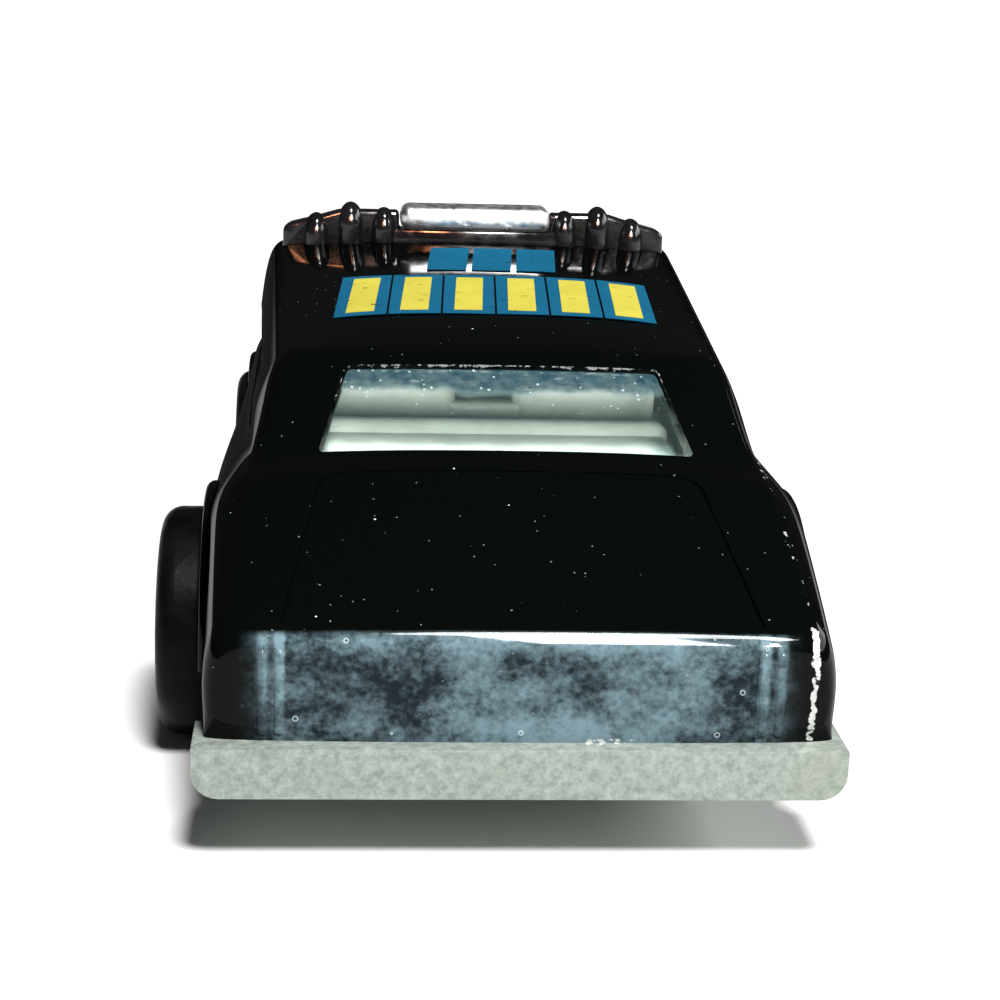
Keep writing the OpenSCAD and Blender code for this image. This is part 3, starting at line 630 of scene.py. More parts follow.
@dataclass(frozen=True)
class ClearPlastic:
    """Clear window plastic with a faint blue-green tint, dust and hairline scratches, a painted reflection band along
    the top and a painted glow on the rear pane's lower edge.
    """

    name: str = "clear_window_plastic"
    tint: Colour = (0.35, 0.52, 0.5)
    # A teal painted reflection band along the top of the panes.
    painted_reflection_band: Colour = (0.004, 0.04, 0.066)
    # A pale painted glow along the thick lower edge of the rear pane.
    edge: Colour = (0.66, 0.92, 0.84)
    dust: Colour = (0.5, 0.6, 0.62)
    painted_reflection_band_z: Flat = (17.4, 17.8)
    dust_z: Flat = (16.2, 17.8)
    # Where the painted glow lies on the rear pane: heights, places along and span across.
    edge_z: Flat = (14.6, 15.5)
    edge_y: Flat = (-17, -15)
    edge_x: Flat = (-8, 3)

    def material(self) -> Material:
        """Returns the windows' material."""
        graph = Graph(self.name, IOR=1.49)
        height = graph.axis("Z")
        # Painted reflection: a teal band over the top of the panes with a wavy lower border.
        sway = graph.math("MULTIPLY", graph.math("SUBTRACT", graph.noise(3, 2), 0.5), 0.8 * MM)
        upper = graph.span(graph.math("ADD", height, sway), self.painted_reflection_band_z)
        distance, chance = graph.cells(0.36)
        dusty = graph.span(height, self.dust_z, 0.2, 1)
        reach = graph.math("MULTIPLY", graph.ramp(chance, 0.3, 1, 0.0, 0.24), dusty)
        specks = graph.math("LESS_THAN", distance, reach)
        scratch = graph.ramp(graph.noise(0.5, 2, place=graph.stretched((0.25, 1.6, 1))), 0.7, 0.74)
        marks = graph.math("MAXIMUM", specks, graph.math("MULTIPLY", scratch, 0.35))
        painted_reflection_band = graph.math("MULTIPLY", upper, graph.ramp(graph.noise(0.5, 4, 0.65), 0.3, 0.75, 0.75, 1))
        # Painted glow along the rear pane's lower edge.
        glow = graph.math("MULTIPLY", self.painted_edge_glow(graph, height), graph.ramp(graph.noise(2, 3), 0.3, 0.7, 0.75, 1))
        tint = graph.mix(glow, graph.mix(painted_reflection_band, self.tint, self.painted_reflection_band), self.edge)
        graph.set("Base_Color", graph.mix(marks, tint, self.dust))
        veil = graph.math("ADD", 0.05, graph.math("MULTIPLY", painted_reflection_band, 0.85))
        veil = graph.math("MAXIMUM", veil, graph.math("MULTIPLY", glow, 0.6))
        graph.set("Alpha", graph.math("MAXIMUM", veil, graph.math("MULTIPLY", marks, 0.75)))
        graph.set("Roughness", graph.ramp(graph.noise(3, 3), 0.3, 0.7, 0.03, 0.1))
        graph.material.surface_render_method = "BLENDED"
        return graph.material

    def painted_edge_glow(self, graph: Graph, height: Socket) -> Socket:
        """Returns where the painted glow lies along the thick lower edge of the rear pane."""
        low = graph.span(height, self.edge_z, 1, 0)
        back = graph.span(graph.axis("Y"), self.edge_y, 1, 0)
        across = graph.span(graph.axis("X"), self.edge_x, 0.45, 1)
        return graph.math("MULTIPLY", graph.math("MULTIPLY", low, back), across)


@dataclass(frozen=True)
class MouldedPlastic:
    """Moulded plastic, matt or glossy, with handling marks, and painted shade lower down where heights are given."""

    name: str
    light: Colour
    dark: Colour
    rough: float
    grain: float = 0.9
    depth: float = 0.02
    sheen: float = 0.5
    painted_shade_z: Flat = (0, 0)

    def material(self) -> Material:
        """Returns the plastic's material."""
        graph = Graph(self.name, IOR=1.5, Specular_IOR_Level=self.sheen)
        cloud = graph.ramp(graph.noise(self.grain * 3, 5, 0.6), 0.35, 0.7)
        tint = graph.mix(cloud, self.dark, self.light)
        # Painted shade: darker towards the bottom, below the given heights.
        if self.painted_shade_z[1] > 0:
            unshaded = graph.span(graph.axis("Z"), self.painted_shade_z)
            tint = graph.mix(unshaded, tuple(c * 0.75 for c in self.dark), tint)
        graph.set("Base_Color", tint)
        graph.set("Roughness", graph.ramp(graph.noise(self.grain, 3), 0.3, 0.7, self.rough - 0.07, self.rough + 0.07))
        graph.bump(graph.noise(self.grain * 0.4, 3), self.depth)
        return graph.material


@dataclass(frozen=True)
class BrightMetal:
    """Plated or drawn bright metal with fine lines and dull spots."""

    name: str
    tint: Colour
    dull: Colour
    rough: float
    lines: Point = (1, 1, 1)

    def material(self) -> Material:
        """Returns the metal's material."""
        graph = Graph(self.name, Metallic=1.0)
        spots = graph.ramp(graph.noise(0.8, 5, 0.65), 0.52, 0.75)
        graph.set("Base_Color", graph.mix(spots, self.tint, self.dull))
        streak = graph.noise(0.6, 3, place=graph.stretched(self.lines))
        rough = graph.ramp(streak, 0.3, 0.75, self.rough, self.rough + 0.14)
        graph.set("Roughness", graph.math("ADD", rough, graph.math("MULTIPLY", spots, 0.15)))
        graph.bump(streak, 0.006)
        return graph.material


@dataclass(frozen=True)
class PrintInk:
    """Printed ink, scratched through in places."""

    name: str
    ink: Colour
    under: Colour = (0.01, 0.012, 0.014)

    def material(self) -> Material:
        """Returns the ink's material."""
        graph = Graph(self.name, IOR=1.5, Specular_IOR_Level=0)
        nick = graph.ramp(graph.noise(0.5, 4, 0.7, graph.stretched((0.5, 1.5, 1))), 0.645, 0.67)
        worn = graph.ramp(graph.noise(1.8, 5, 0.6), 0.3, 0.75, 0.72, 1)
        solid = graph.mix(worn, tuple(c * 0.6 for c in self.ink), self.ink)
        graph.set("Base_Color", graph.mix(nick, solid, self.under))
        graph.set("Roughness", graph.ramp(graph.noise(1.2, 3), 0.3, 0.7, 0.3, 0.45))
        return graph.material


def dress(piece: Object, material: Material, slot: Slot, body: str, *nodes: str) -> None:
    """Gives a piece its material and body, and hides the nodes it stands for.

    Args:
        piece: Finished mesh.
        material: Its finish.
        slot: The record's slot for that finish; not used.
        body: Body that it rides on.
        nodes: Nodes of the frame that it replaces.
    """
    piece.data.materials.clear()
    piece.data.materials.append(material)
    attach(piece, body)
    if nodes:
        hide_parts(*nodes)
    log.info("%s: %d faces on %s", piece.name, len(piece.data.polygons), body)


@dataclass
class BodyLines:
    """Lines of the painted body; heights are above the shell's lower edge."""

    half_w: float = 14.7
    sill_z: float = 5.45
    wall: float = 1.1
    tail_y: float = TAIL_Y
    nose_y: float = 34.8
    tail_h: float = 5.05
    deck_h: float = 9.95
    cowl_h: float = 8.7
    nose_h: float = 5.0
    rear_base_y: float = -22.3
    rear_top_y: float = -16.6
    front_top_y: float = 10.6
    front_base_y: float = 16.8
    rear_top_h: float = 13.45
    front_top_h: float = 15.15
    crown: float = 0.7
    rear_roof_x: float = 10.9
    front_roof_x: float = 11.9
    rear_foot_x: float = 12.0
    front_foot_x: float = 12.2
    end_round: float = 0.6
    side_bulge: float = 0.8
    swell: float = 0.45

    def side_stops(self) -> list[tuple[float, ...]]:
        """Returns places with shares of the half width at sill, waist, shoulder and edge, then of the height."""
        return [
            (self.tail_y, 0.955, 0.962, 0.935, 0.88, 0.87, 0.975),
            (-28.7, 0.955, 0.98, 0.965, 0.87, 0.85, 0.965),
            (self.rear_base_y, 0.955, 1, 0.985, 0.86, 0.78, 0.93),
            (-13.8, 0.955, 1, 0.985, 0.87, 0.77, 0.93),
            (0, 0.945, 0.965, 0.945, 0.88, 0.83, 0.93),
            (self.front_base_y, 0.945, 0.965, 0.935, 0.84, 0.85, 0.95),
            (24.8, 0.94, 0.955, 0.92, 0.805, 0.87, 0.96),
            (30.9, 0.92, 0.935, 0.9, 0.785, 0.88, 0.965),
            (33.4, 0.89, 0.905, 0.87, 0.765, 0.88, 0.965),
            (self.nose_y, 0.85, 0.865, 0.83, 0.73, 0.88, 0.96),
        ]

    def side_share(self, column: int, y: float) -> float:
        """Returns one column of the side's stops, read at a place."""
        return curve_at([(stop[0], stop[column]) for stop in self.side_stops()], y)

    def level(self, y: float) -> float:
        """Returns the height of deck, belt or hood in the middle of the car."""
        return curve_at([
            (self.tail_y, self.tail_h), (-28.7, between(self.tail_h, self.deck_h, 0.54)),
            (self.rear_base_y, self.deck_h), (-13.8, between(self.deck_h, self.cowl_h, 0.4)),
            (0, between(self.deck_h, self.cowl_h, 0.8)), (self.front_base_y, self.cowl_h),
            (24.8, between(self.cowl_h, self.nose_h, 0.33)), (30.9, between(self.cowl_h, self.nose_h, 0.64)),
            (self.nose_y, self.nose_h),
        ], y)

    def edge(self, y: float) -> Flat:
        """Returns the deck's, belt's or hood's edge as half width and height."""
        return self.side_share(4, y) * self.half_w, self.side_share(6, y) * self.level(y)

    def zone(self, y: float) -> tuple[Zone, float]:
        """Returns the part of the body that a place lies in, and its share of the way through it."""
        if self.rear_base_y < y < self.rear_top_y:
            return Zone.REAR, (y - self.rear_base_y) / (self.rear_top_y - self.rear_base_y)
        if self.front_top_y < y < self.front_base_y:
            return Zone.FRONT, (y - self.front_top_y) / (self.front_base_y - self.front_top_y)
        if self.rear_top_y <= y <= self.front_top_y:
            return Zone.ROOF, (y - self.rear_top_y) / (self.front_top_y - self.rear_top_y)
        return Zone.DECK, 0.0

    def centre(self, y: float) -> float:
        """Returns the height of the car's middle line, windows and roof included."""
        rear_h, front_h = self.rear_top_h + self.crown * 0.5, self.front_top_h + self.crown * 0.5
        zone, share = self.zone(y)
        if zone is Zone.REAR:
            return between(self.deck_h, rear_h, share)
        if zone is Zone.FRONT:
            return between(front_h, self.cowl_h, share)
        if zone is Zone.ROOF:
            return curve_at([
                (self.rear_top_y, rear_h), (-13, between(rear_h, front_h, 0.2) + self.crown * 0.4),
                (-3, between(rear_h, front_h, 0.55) + self.crown * 0.5),
                (7, front_h + self.crown * 0.1), (self.front_top_y, front_h),
            ], y)
        return self.level(y)

    def roof_edge(self, y: float) -> Flat:
        """Returns the roof's edge, or the line on the deck or hood that runs on from it."""
        zone, share = self.zone(y)
        if zone is Zone.DECK:
            rear_share = self.rear_foot_x / self.edge(self.rear_base_y)[0]
            front_share = self.front_foot_x / self.edge(self.front_base_y)[0]
            x = self.edge(y)[0] * curve_at([
                (self.tail_y, 0.86), (self.rear_base_y, rear_share), (self.front_base_y, front_share), (25, 0.86),
            ], y)
            return x, self.on_crown(y, x)
        rear_foot = self.rear_foot_x, self.on_crown(self.rear_base_y, self.rear_foot_x)
        front_foot = self.front_foot_x, self.on_crown(self.front_base_y, self.front_foot_x)
        rear_top, front_top = (self.rear_roof_x, self.rear_top_h), (self.front_roof_x, self.front_top_h)
        first, last = {
            Zone.REAR: (rear_foot, rear_top), Zone.ROOF: (rear_top, front_top), Zone.FRONT: (front_top, front_foot),
        }[zone]
        return between(first[0], last[0], share), between(first[1], last[1], share)

    def on_crown(self, y: float, x: float) -> float:
        """Returns the deck's or hood's height at a distance from the middle."""
        edge_x, edge_z = self.edge(y)
        return self.level(y) - (self.level(y) - edge_z) * min(1, abs(x) / edge_x) ** 2.6

    def top(self, y: float, x: float) -> float:
        """Returns the height of the outer skin above the ground at a place on roof, window, deck or hood."""
        roof_x, roof_z = self.roof_edge(y)
        middle = self.centre(y)
        return self.sill_z + middle - (middle - roof_z) * min(1, abs(x) / roof_x) ** 3

    def half_section(self, y: float, inset: float) -> list[Flat]:
        """Returns a section's right half from the sill up to the middle.

        Args:
            y: Place along the car.
            inset: How far the section is drawn in all round.

        Returns:
            Points as half width and height.
        """
        sill, waist, shoulder, shoulder_z = (self.side_share(column, y) for column in (1, 2, 3, 5))
        level = self.level(y)
        edge_x, edge_z = self.edge(y)
        roof_x, roof_z = self.roof_edge(y)
        middle = self.centre(y)
        rise = max(0.0, roof_z - edge_z) / (self.front_top_h - self.cowl_h)
        side = [
            (sill * self.half_w, 0),
            (between(sill, waist, 0.65) * self.half_w, level * 0.26),
            (waist * self.half_w, level * 0.52),
            (shoulder * self.half_w, level * shoulder_z - inset * 0.5),
            (edge_x, edge_z - inset * 0.8),
        ]
        for share in (0.3, 0.72):
            x = between(edge_x, roof_x, share) + self.side_bulge * rise
            side.append((x, between(edge_z, roof_z, share) - inset * 0.8))
        over = [
            (roof_x * share, middle - (middle - roof_z) * share ** 3 - inset)
            for share in (1, 0.88, 0.52)
        ]
        over[0] = (over[0][0] + self.swell * rise, over[0][1] + self.swell * 0.5 * rise)
        points = [(x - inset, z) for x, z in side] + [(over[0][0] - inset, over[0][1])]
        points += [(x - inset * share, z) for (x, z), share in zip(over[1:], (0.88, 0.52))]
        return points + [(0, middle - inset)]

    def stations(self) -> list[float]:
        """Returns the places of the sections, closer together at the body's corners."""
        near = 1.1
        return [
            self.tail_y, self.tail_y + self.end_round, self.tail_y + 1.6, -31.4, -28, -25,
            self.rear_base_y - near, self.rear_base_y, self.rear_base_y + near, -19.4,
            self.rear_top_y - near, self.rear_top_y, self.rear_top_y + near, -13, -8.5, -3, 2.5, 7,
            self.front_top_y - near, self.front_top_y, self.front_top_y + near, 13.7,
            self.front_base_y - near, self.front_base_y, self.front_base_y + near, 20.5, 24.5, 28.5,
            31.6, 33.2, self.nose_y - self.end_round, self.nose_y,
        ]

    def solid(self, name: str, inset: float, levels: int, drop: float = 0) -> Object:
        """Makes the body's form as one closed solid.

        Args:
            name: Name of the new object.
            inset: How far it is drawn in all round.
            levels: Subdivision levels.
            drop: How far it runs down past the shell's lower edge.

        Returns:
            The closed solid.
        """
        places = self.stations()
        rings = []
        for index, y in enumerate(places):
            at_end = index in (0, len(places) - 1)
            half = self.half_section(y, inset + (self.end_round * 0.8 if at_end else 0))
            shift = inset if index < 3 else -inset if index > len(places) - 4 else 0
            points = [(-x, z) for x, z in half] + half[-2::-1]
            rings.append([
                Vector((x, y + shift, self.sill_z + (z if 0 < i < len(points) - 1 else -drop))) * MM
                for i, (x, z) in enumerate(points)
            ])
        piece = loft(name, rings)
        self.brace_ends(piece)
        foot = (self.sill_z - drop) * MM + 1e-6
        crease(piece, lambda a, b: a.z < foot and b.z < foot)
        smooth(piece, levels)
        return piece

    def brace_ends(self, piece: Object) -> None:
        """Insets the flat tail and nose so that their rims round off tightly."""
        with editing(piece):
            bpy.ops.mesh.select_mode(type="FACE")
            bpy.ops.mesh.select_all(action="DESELECT")
            mesh = bmesh.from_edit_mesh(piece.data)
            for face in mesh.faces:
                face.select_set(len(face.verts) > 4)
            bmesh.update_edit_mesh(piece.data)
            bpy.ops.mesh.inset(thickness=self.end_round * MM, use_individual=True)


@dataclass
class Wheelset:
    """One axle's wheels."""

    body: str
    y: float
    slide: float
    tyre_d: float
    tyre_w: float


@dataclass
class PaintedBody:
    """The painted shell with its openings and panel lines."""

    lines: BodyLines
    arch_gap: float = 0.8
    lip_r: float = 0.42
    lip_out: float = 0.1
    lip_in: float = 0.28
    groove_w: float = 0.2
    groove_depth: float = 0.16
    groove_top: Flat = (2, 12)
    groove_side: Flat = (9, 8)
    rear_glass: Flat = (9.25, 7.9)
    front_glass: Flat = (10.0, 8.7)
    rear_span: Flat = (0.01, 0.88)
    front_span: Flat = (0.08, 0.86)
    window_round: float = 0.3
    slope_reach: float = 2.4
    side_reach: Flat = (12, 4)
    side_pull: float = 1.3
    rib: tuple[float, float, float, float] = (0.3, 0.18, 2.3, 1.75)
    grille: tuple[float, float, float, int] = (12.6, 2.2, 0.45, 9)
    grille_z: float = 7.65
    rub_y: Flat = (-16, -33)
    rub_corner: Flat = (12.95, 0.32)
    # Span across the tail's foot where bare zinc is painted as a highlight.
    painted_foot_glint: Flat = (1.8, 6.2)
    side_window: tuple[Flat, ...] = ((-14.5, 9.1), (12.9, 9.1), (6.4, 12.2), (-10.6, 11.9))

    def slope_corners(self, widths: Flat, span: Flat, base: Flat, top: Flat, shrink: float) -> list[Vector]:
        """Finds a sloping window's corners.

        Args:
            widths: Half widths at its foot and top.
            span: Shares of the slope where it starts and ends.
            base: Place and height of the slope's foot.
            top: Place and height of the slope's top.
            shrink: How far the outline is drawn in.

        Returns:
            Four corners, in metres.
        """
        length = math.dist(base, top)
        low, high = span[0] + shrink / length, span[1] - shrink / length
        rows = ((widths[0] - shrink, low), (widths[1] - shrink, high))
        corners = []
        for (half, share), sides in zip(rows, ((-1, 1), (1, -1))):
            for side in sides:
                y, z = between(base[0], top[0], share), between(base[1], top[1], share)
                corners.append(Vector((side * half, y, self.lines.sill_z + z)) * MM)
        return corners

    def window_prisms(self, shrink: float) -> list[Object]:
        """Returns plates that run through the four windows, drawn in by a shrink."""
        lines = self.lines
        plates = []
        slopes = (
            ("rear_window", self.rear_glass, self.rear_span,
             (lines.rear_base_y, lines.deck_h), (lines.rear_top_y, lines.rear_top_h)),
            ("windscreen", self.front_glass, self.front_span,
             (lines.front_base_y, lines.cowl_h), (lines.front_top_y, lines.front_top_h)),
        )
        rounding = max(0.1, self.window_round - shrink) * MM
        for name, widths, span, base, top in slopes:
            corners = self.slope_corners(widths, span, base, top, shrink)
            along = (corners[3] - corners[0]).normalized()
            across = (corners[1] - corners[0]).normalized()
            normal = across.cross(Vector((0, along.y, along.z)).normalized()) * self.slope_reach * MM
            normal *= 1 if normal.z > 0 else -1
            plates.append(prism(name, corners, rounding, normal, -normal))
        middle = Vector([sum(values) / 4 for values in zip(*self.side_window)])
        for side in SIDES:
            corners = []
            for y, z in self.side_window:
                pull = (middle - Vector((y, z))).normalized() * shrink * self.side_pull
                corners.append(Vector((side * self.side_reach[0], y + pull.x, lines.sill_z + z + pull.y)) * MM)
            out = Vector((side * self.side_reach[1], 0, 0)) * MM
            plates.append(prism("side_window", corners, rounding, out, -out))
        return plates

    def arches(self, wheels: Sequence[Wheelset]) -> list[Object]:
        """Returns cylinders that cut the wheel arches."""
        half = self.lines.half_w
        return [
            start(
                "arch", bpy.ops.mesh.primitive_cylinder_add, vertices=96,
                radius=(wheel.tyre_d / 2 + self.arch_gap) * MM, depth=half * MM,
                location=Vector((side * half * 1.02, wheel.y, wheel.tyre_d / 2)) * MM,
                rotation=(0, math.pi / 2, 0),
            )
            for wheel in wheels for side in SIDES
        ]

    def lips(self, wheels: Sequence[Wheelset]) -> list[Object]:
        """Returns the rounded lips that stand round the wheel arches."""
        pieces = []
        for wheel in wheels:
            waist = self.lines.side_share(2, wheel.y) * self.lines.half_w
            for side in SIDES:
                lip = start(
                    "arch_lip", bpy.ops.mesh.primitive_torus_add, major_segments=96, minor_segments=16,
                    major_radius=(wheel.tyre_d / 2 + self.arch_gap + self.lip_out) * MM, minor_radius=self.lip_r * MM,
                    location=Vector((side * (waist - self.lip_in), wheel.y, wheel.tyre_d / 2)) * MM,
                    rotation=(0, math.pi / 2, 0),
                )
                pieces.append(face_out(cut_level(lip, self.lines.sill_z + 0.02, True)))
        return pieces

    def groove_lines(self) -> list[tuple[list[Flat], str]]:
        """Returns the panel lines as points, and the plane that they lie in."""
        trunk = [(-10.6, -34.3), (-9.2, -25.6)] + arc((-7.9, -25.5), 1.3, 180, 90, 4)
        hood = [(-8.6, 33.4), (-9.6, 20)] + arc((-8.3, 19.6), 1.3, 180, 270, 4)
        door = arc((-3.6, 2.6), 1.4, 180, 270, 4) + arc((9.4, 2.6), 1.4, 270, 360, 4) + [(12.0, 9.0)]
        return [
            (trunk + [(-x, y) for x, y in reversed(trunk)], "top"),
            (hood + [(-x, y) for x, y in reversed(hood)], "top"),
            ([(-5.0, 9.0)] + door, "side"),
        ]

    def grooves(self) -> Object:
        """Returns one cutter for all panel lines, shallow under the skin."""
        lines, (low, rise), (near, reach) = self.lines, self.groove_top, self.groove_side
        walls = []
        for points, plane in self.groove_lines():
            if plane == "top":
                line = [Vector((x, y, lines.sill_z + low)) * MM for x, y in points]
                walls.append(ribbon("panel_line", line, Vector((0, 0, rise)) * MM, self.groove_w * MM))
                continue
            for side in SIDES:
                line = [Vector((side * near, y, lines.sill_z + z)) * MM for y, z in points]
                walls.append(ribbon("panel_line", line, Vector((side * reach, 0, 0)) * MM, self.groove_w * MM))
        cutter = combine(walls[0], "UNION", *walls[1:])
        return combine(cutter, "DIFFERENCE", lines.solid("groove_floor", self.groove_depth, 3))

    def tail_ribs(self) -> list[Object]:
        """Returns the two pairs of upright ribs on the tail."""
        radius, inward, rise, half = self.rib
        pieces = []
        for side in SIDES:
            for x in RIB_X:
                centre = Vector((side * x, self.lines.tail_y + inward, self.lines.sill_z + rise)) * MM
                rib = start(
                    "tail_rib", bpy.ops.mesh.primitive_uv_sphere_add, segments=20, ring_count=12, radius=radius * MM,
                    location=centre,
                )
                for vertex in rib.data.vertices:
                    lift = (half if vertex.co.z > centre.z else -half) * MM
                    vertex.co.z += lift if abs(vertex.co.z - centre.z) > 1e-7 else 0
                pieces.append(rib)
        return pieces

    def grille_slots(self) -> list[Object]:
        """Returns cutters for the upright slots in the nose."""
        width, height, depth, count = self.grille
        pitch = width / count
        cutters = []
        for i in range(count):
            left = -width / 2 + pitch * (i + 0.18)
            low = (left, self.lines.nose_y - depth, self.grille_z - height / 2)
            high = (left + pitch * 0.64, self.lines.nose_y + depth, self.grille_z + height / 2)
            cutters.append(block("grille_slot", low, high, 0.12, 2))
        return cutters

    def build(self, wheels: Sequence[Wheelset]) -> Object:
        """Returns the finished shell."""
        lines = self.lines
        shell = lines.solid("painted_body", 0, 3)
        combine(shell, "UNION", *self.lips(wheels), *self.tail_ribs())
        cavity = lines.solid("cavity", lines.wall, 2, drop=1)
        openings = self.arches(wheels) + self.window_prisms(0) + self.grille_slots()
        combine(shell, "DIFFERENCE", self.grooves(), cavity, *openings)
        shade(shell, 32)
        self.mark_wear_and_glint(shell)
        return shell

    def mark_wear_and_glint(self, shell: Object) -> None:
        """Writes where the paint is worn, and the painted highlight at the tail's foot, into the mesh."""
        wear_and_glint = shell.data.attributes.new("wear_and_glint", "FLOAT", "POINT")
        mesh = bmesh.new()
        mesh.from_mesh(shell.data)
        for index, vertex in enumerate(mesh.verts):
            sharp = any(e.calc_face_angle(0) > 0.7 for e in vertex.link_edges)
            wear_and_glint.data[index].value = self.wear_and_glint_at(vertex.co / MM, sharp)
        mesh.free()

    def wear_and_glint_at(self, place: Vector, sharp: bool) -> float:
        """Finds how far the paint is rubbed off at a place, or painted bare as a highlight along the tail's foot.

        Args:
            place: Point on the shell, in millimetres.
            sharp: Whether a sharp edge runs through it.

        Returns:
            A share from 0 to 1.
        """
        lines = self.lines
        x, y, z = place
        if sharp and lines.rear_base_y < y < lines.rear_top_y:
            outer = z > lines.top(y, x) - 0.35
            return (0.6 if z - lines.sill_z > 12.2 else 0.5) if outer else 0.0
        if y > self.rub_y[0]:
            return 0.05
        edge_x, edge_z = lines.edge(y)
        ridge = math.dist((abs(x), z - lines.sill_z), (edge_x, edge_z))
        along = (0.52 if x > 0 else 0.3) * math.exp(-((ridge / 0.6) ** 2))
        if y > self.rub_y[1] or z > lines.sill_z + lines.tail_h:
            return along
        middle, spread = self.rub_corner
        corner = 0.77 * math.exp(-(((x - middle) / spread) ** 2))
        # Painted highlight: bare zinc spots along the tail's foot.
        foot = 0.56 if self.painted_foot_glint[0] < x < self.painted_foot_glint[1] and z < lines.sill_z + 0.3 else 0
        return max(along, corner, foot)


@dataclass
class Glazing:
    """The clear moulding: a liner under the roof with panes that stand in the openings."""

    painted: PaintedBody
    flush: float = 0.32
    gap: float = 0.1
    thickness: float = 0.75
    fit: float = 0.06
    foot_z: float = 13.3
    room: Point = (16, 1.5, 1)
    room_z: float = 24

    def build(self) -> Object:
        """Returns the finished moulding."""
        lines = self.painted.lines
        inset = lines.wall + self.gap
        plates = self.painted.window_prisms(self.fit)
        panes = lines.solid("window_panes", self.flush, 3)
        combine(panes, "INTERSECT", combine(plates[0], "UNION", *plates[1:]))
        liner = combine(lines.solid("clear_windows", inset, 2), "UNION", panes)
        combine(liner, "DIFFERENCE", lines.solid("window_cavity", inset + self.thickness, 2, drop=1))
        half, behind, ahead = self.room
        low = (-half, lines.rear_base_y - behind, self.foot_z)
        high = (half, lines.front_base_y + ahead, self.room_z)
        return shade(combine(liner, "INTERSECT", block("cabin_room", low, high, 0.2, 1)), 32)


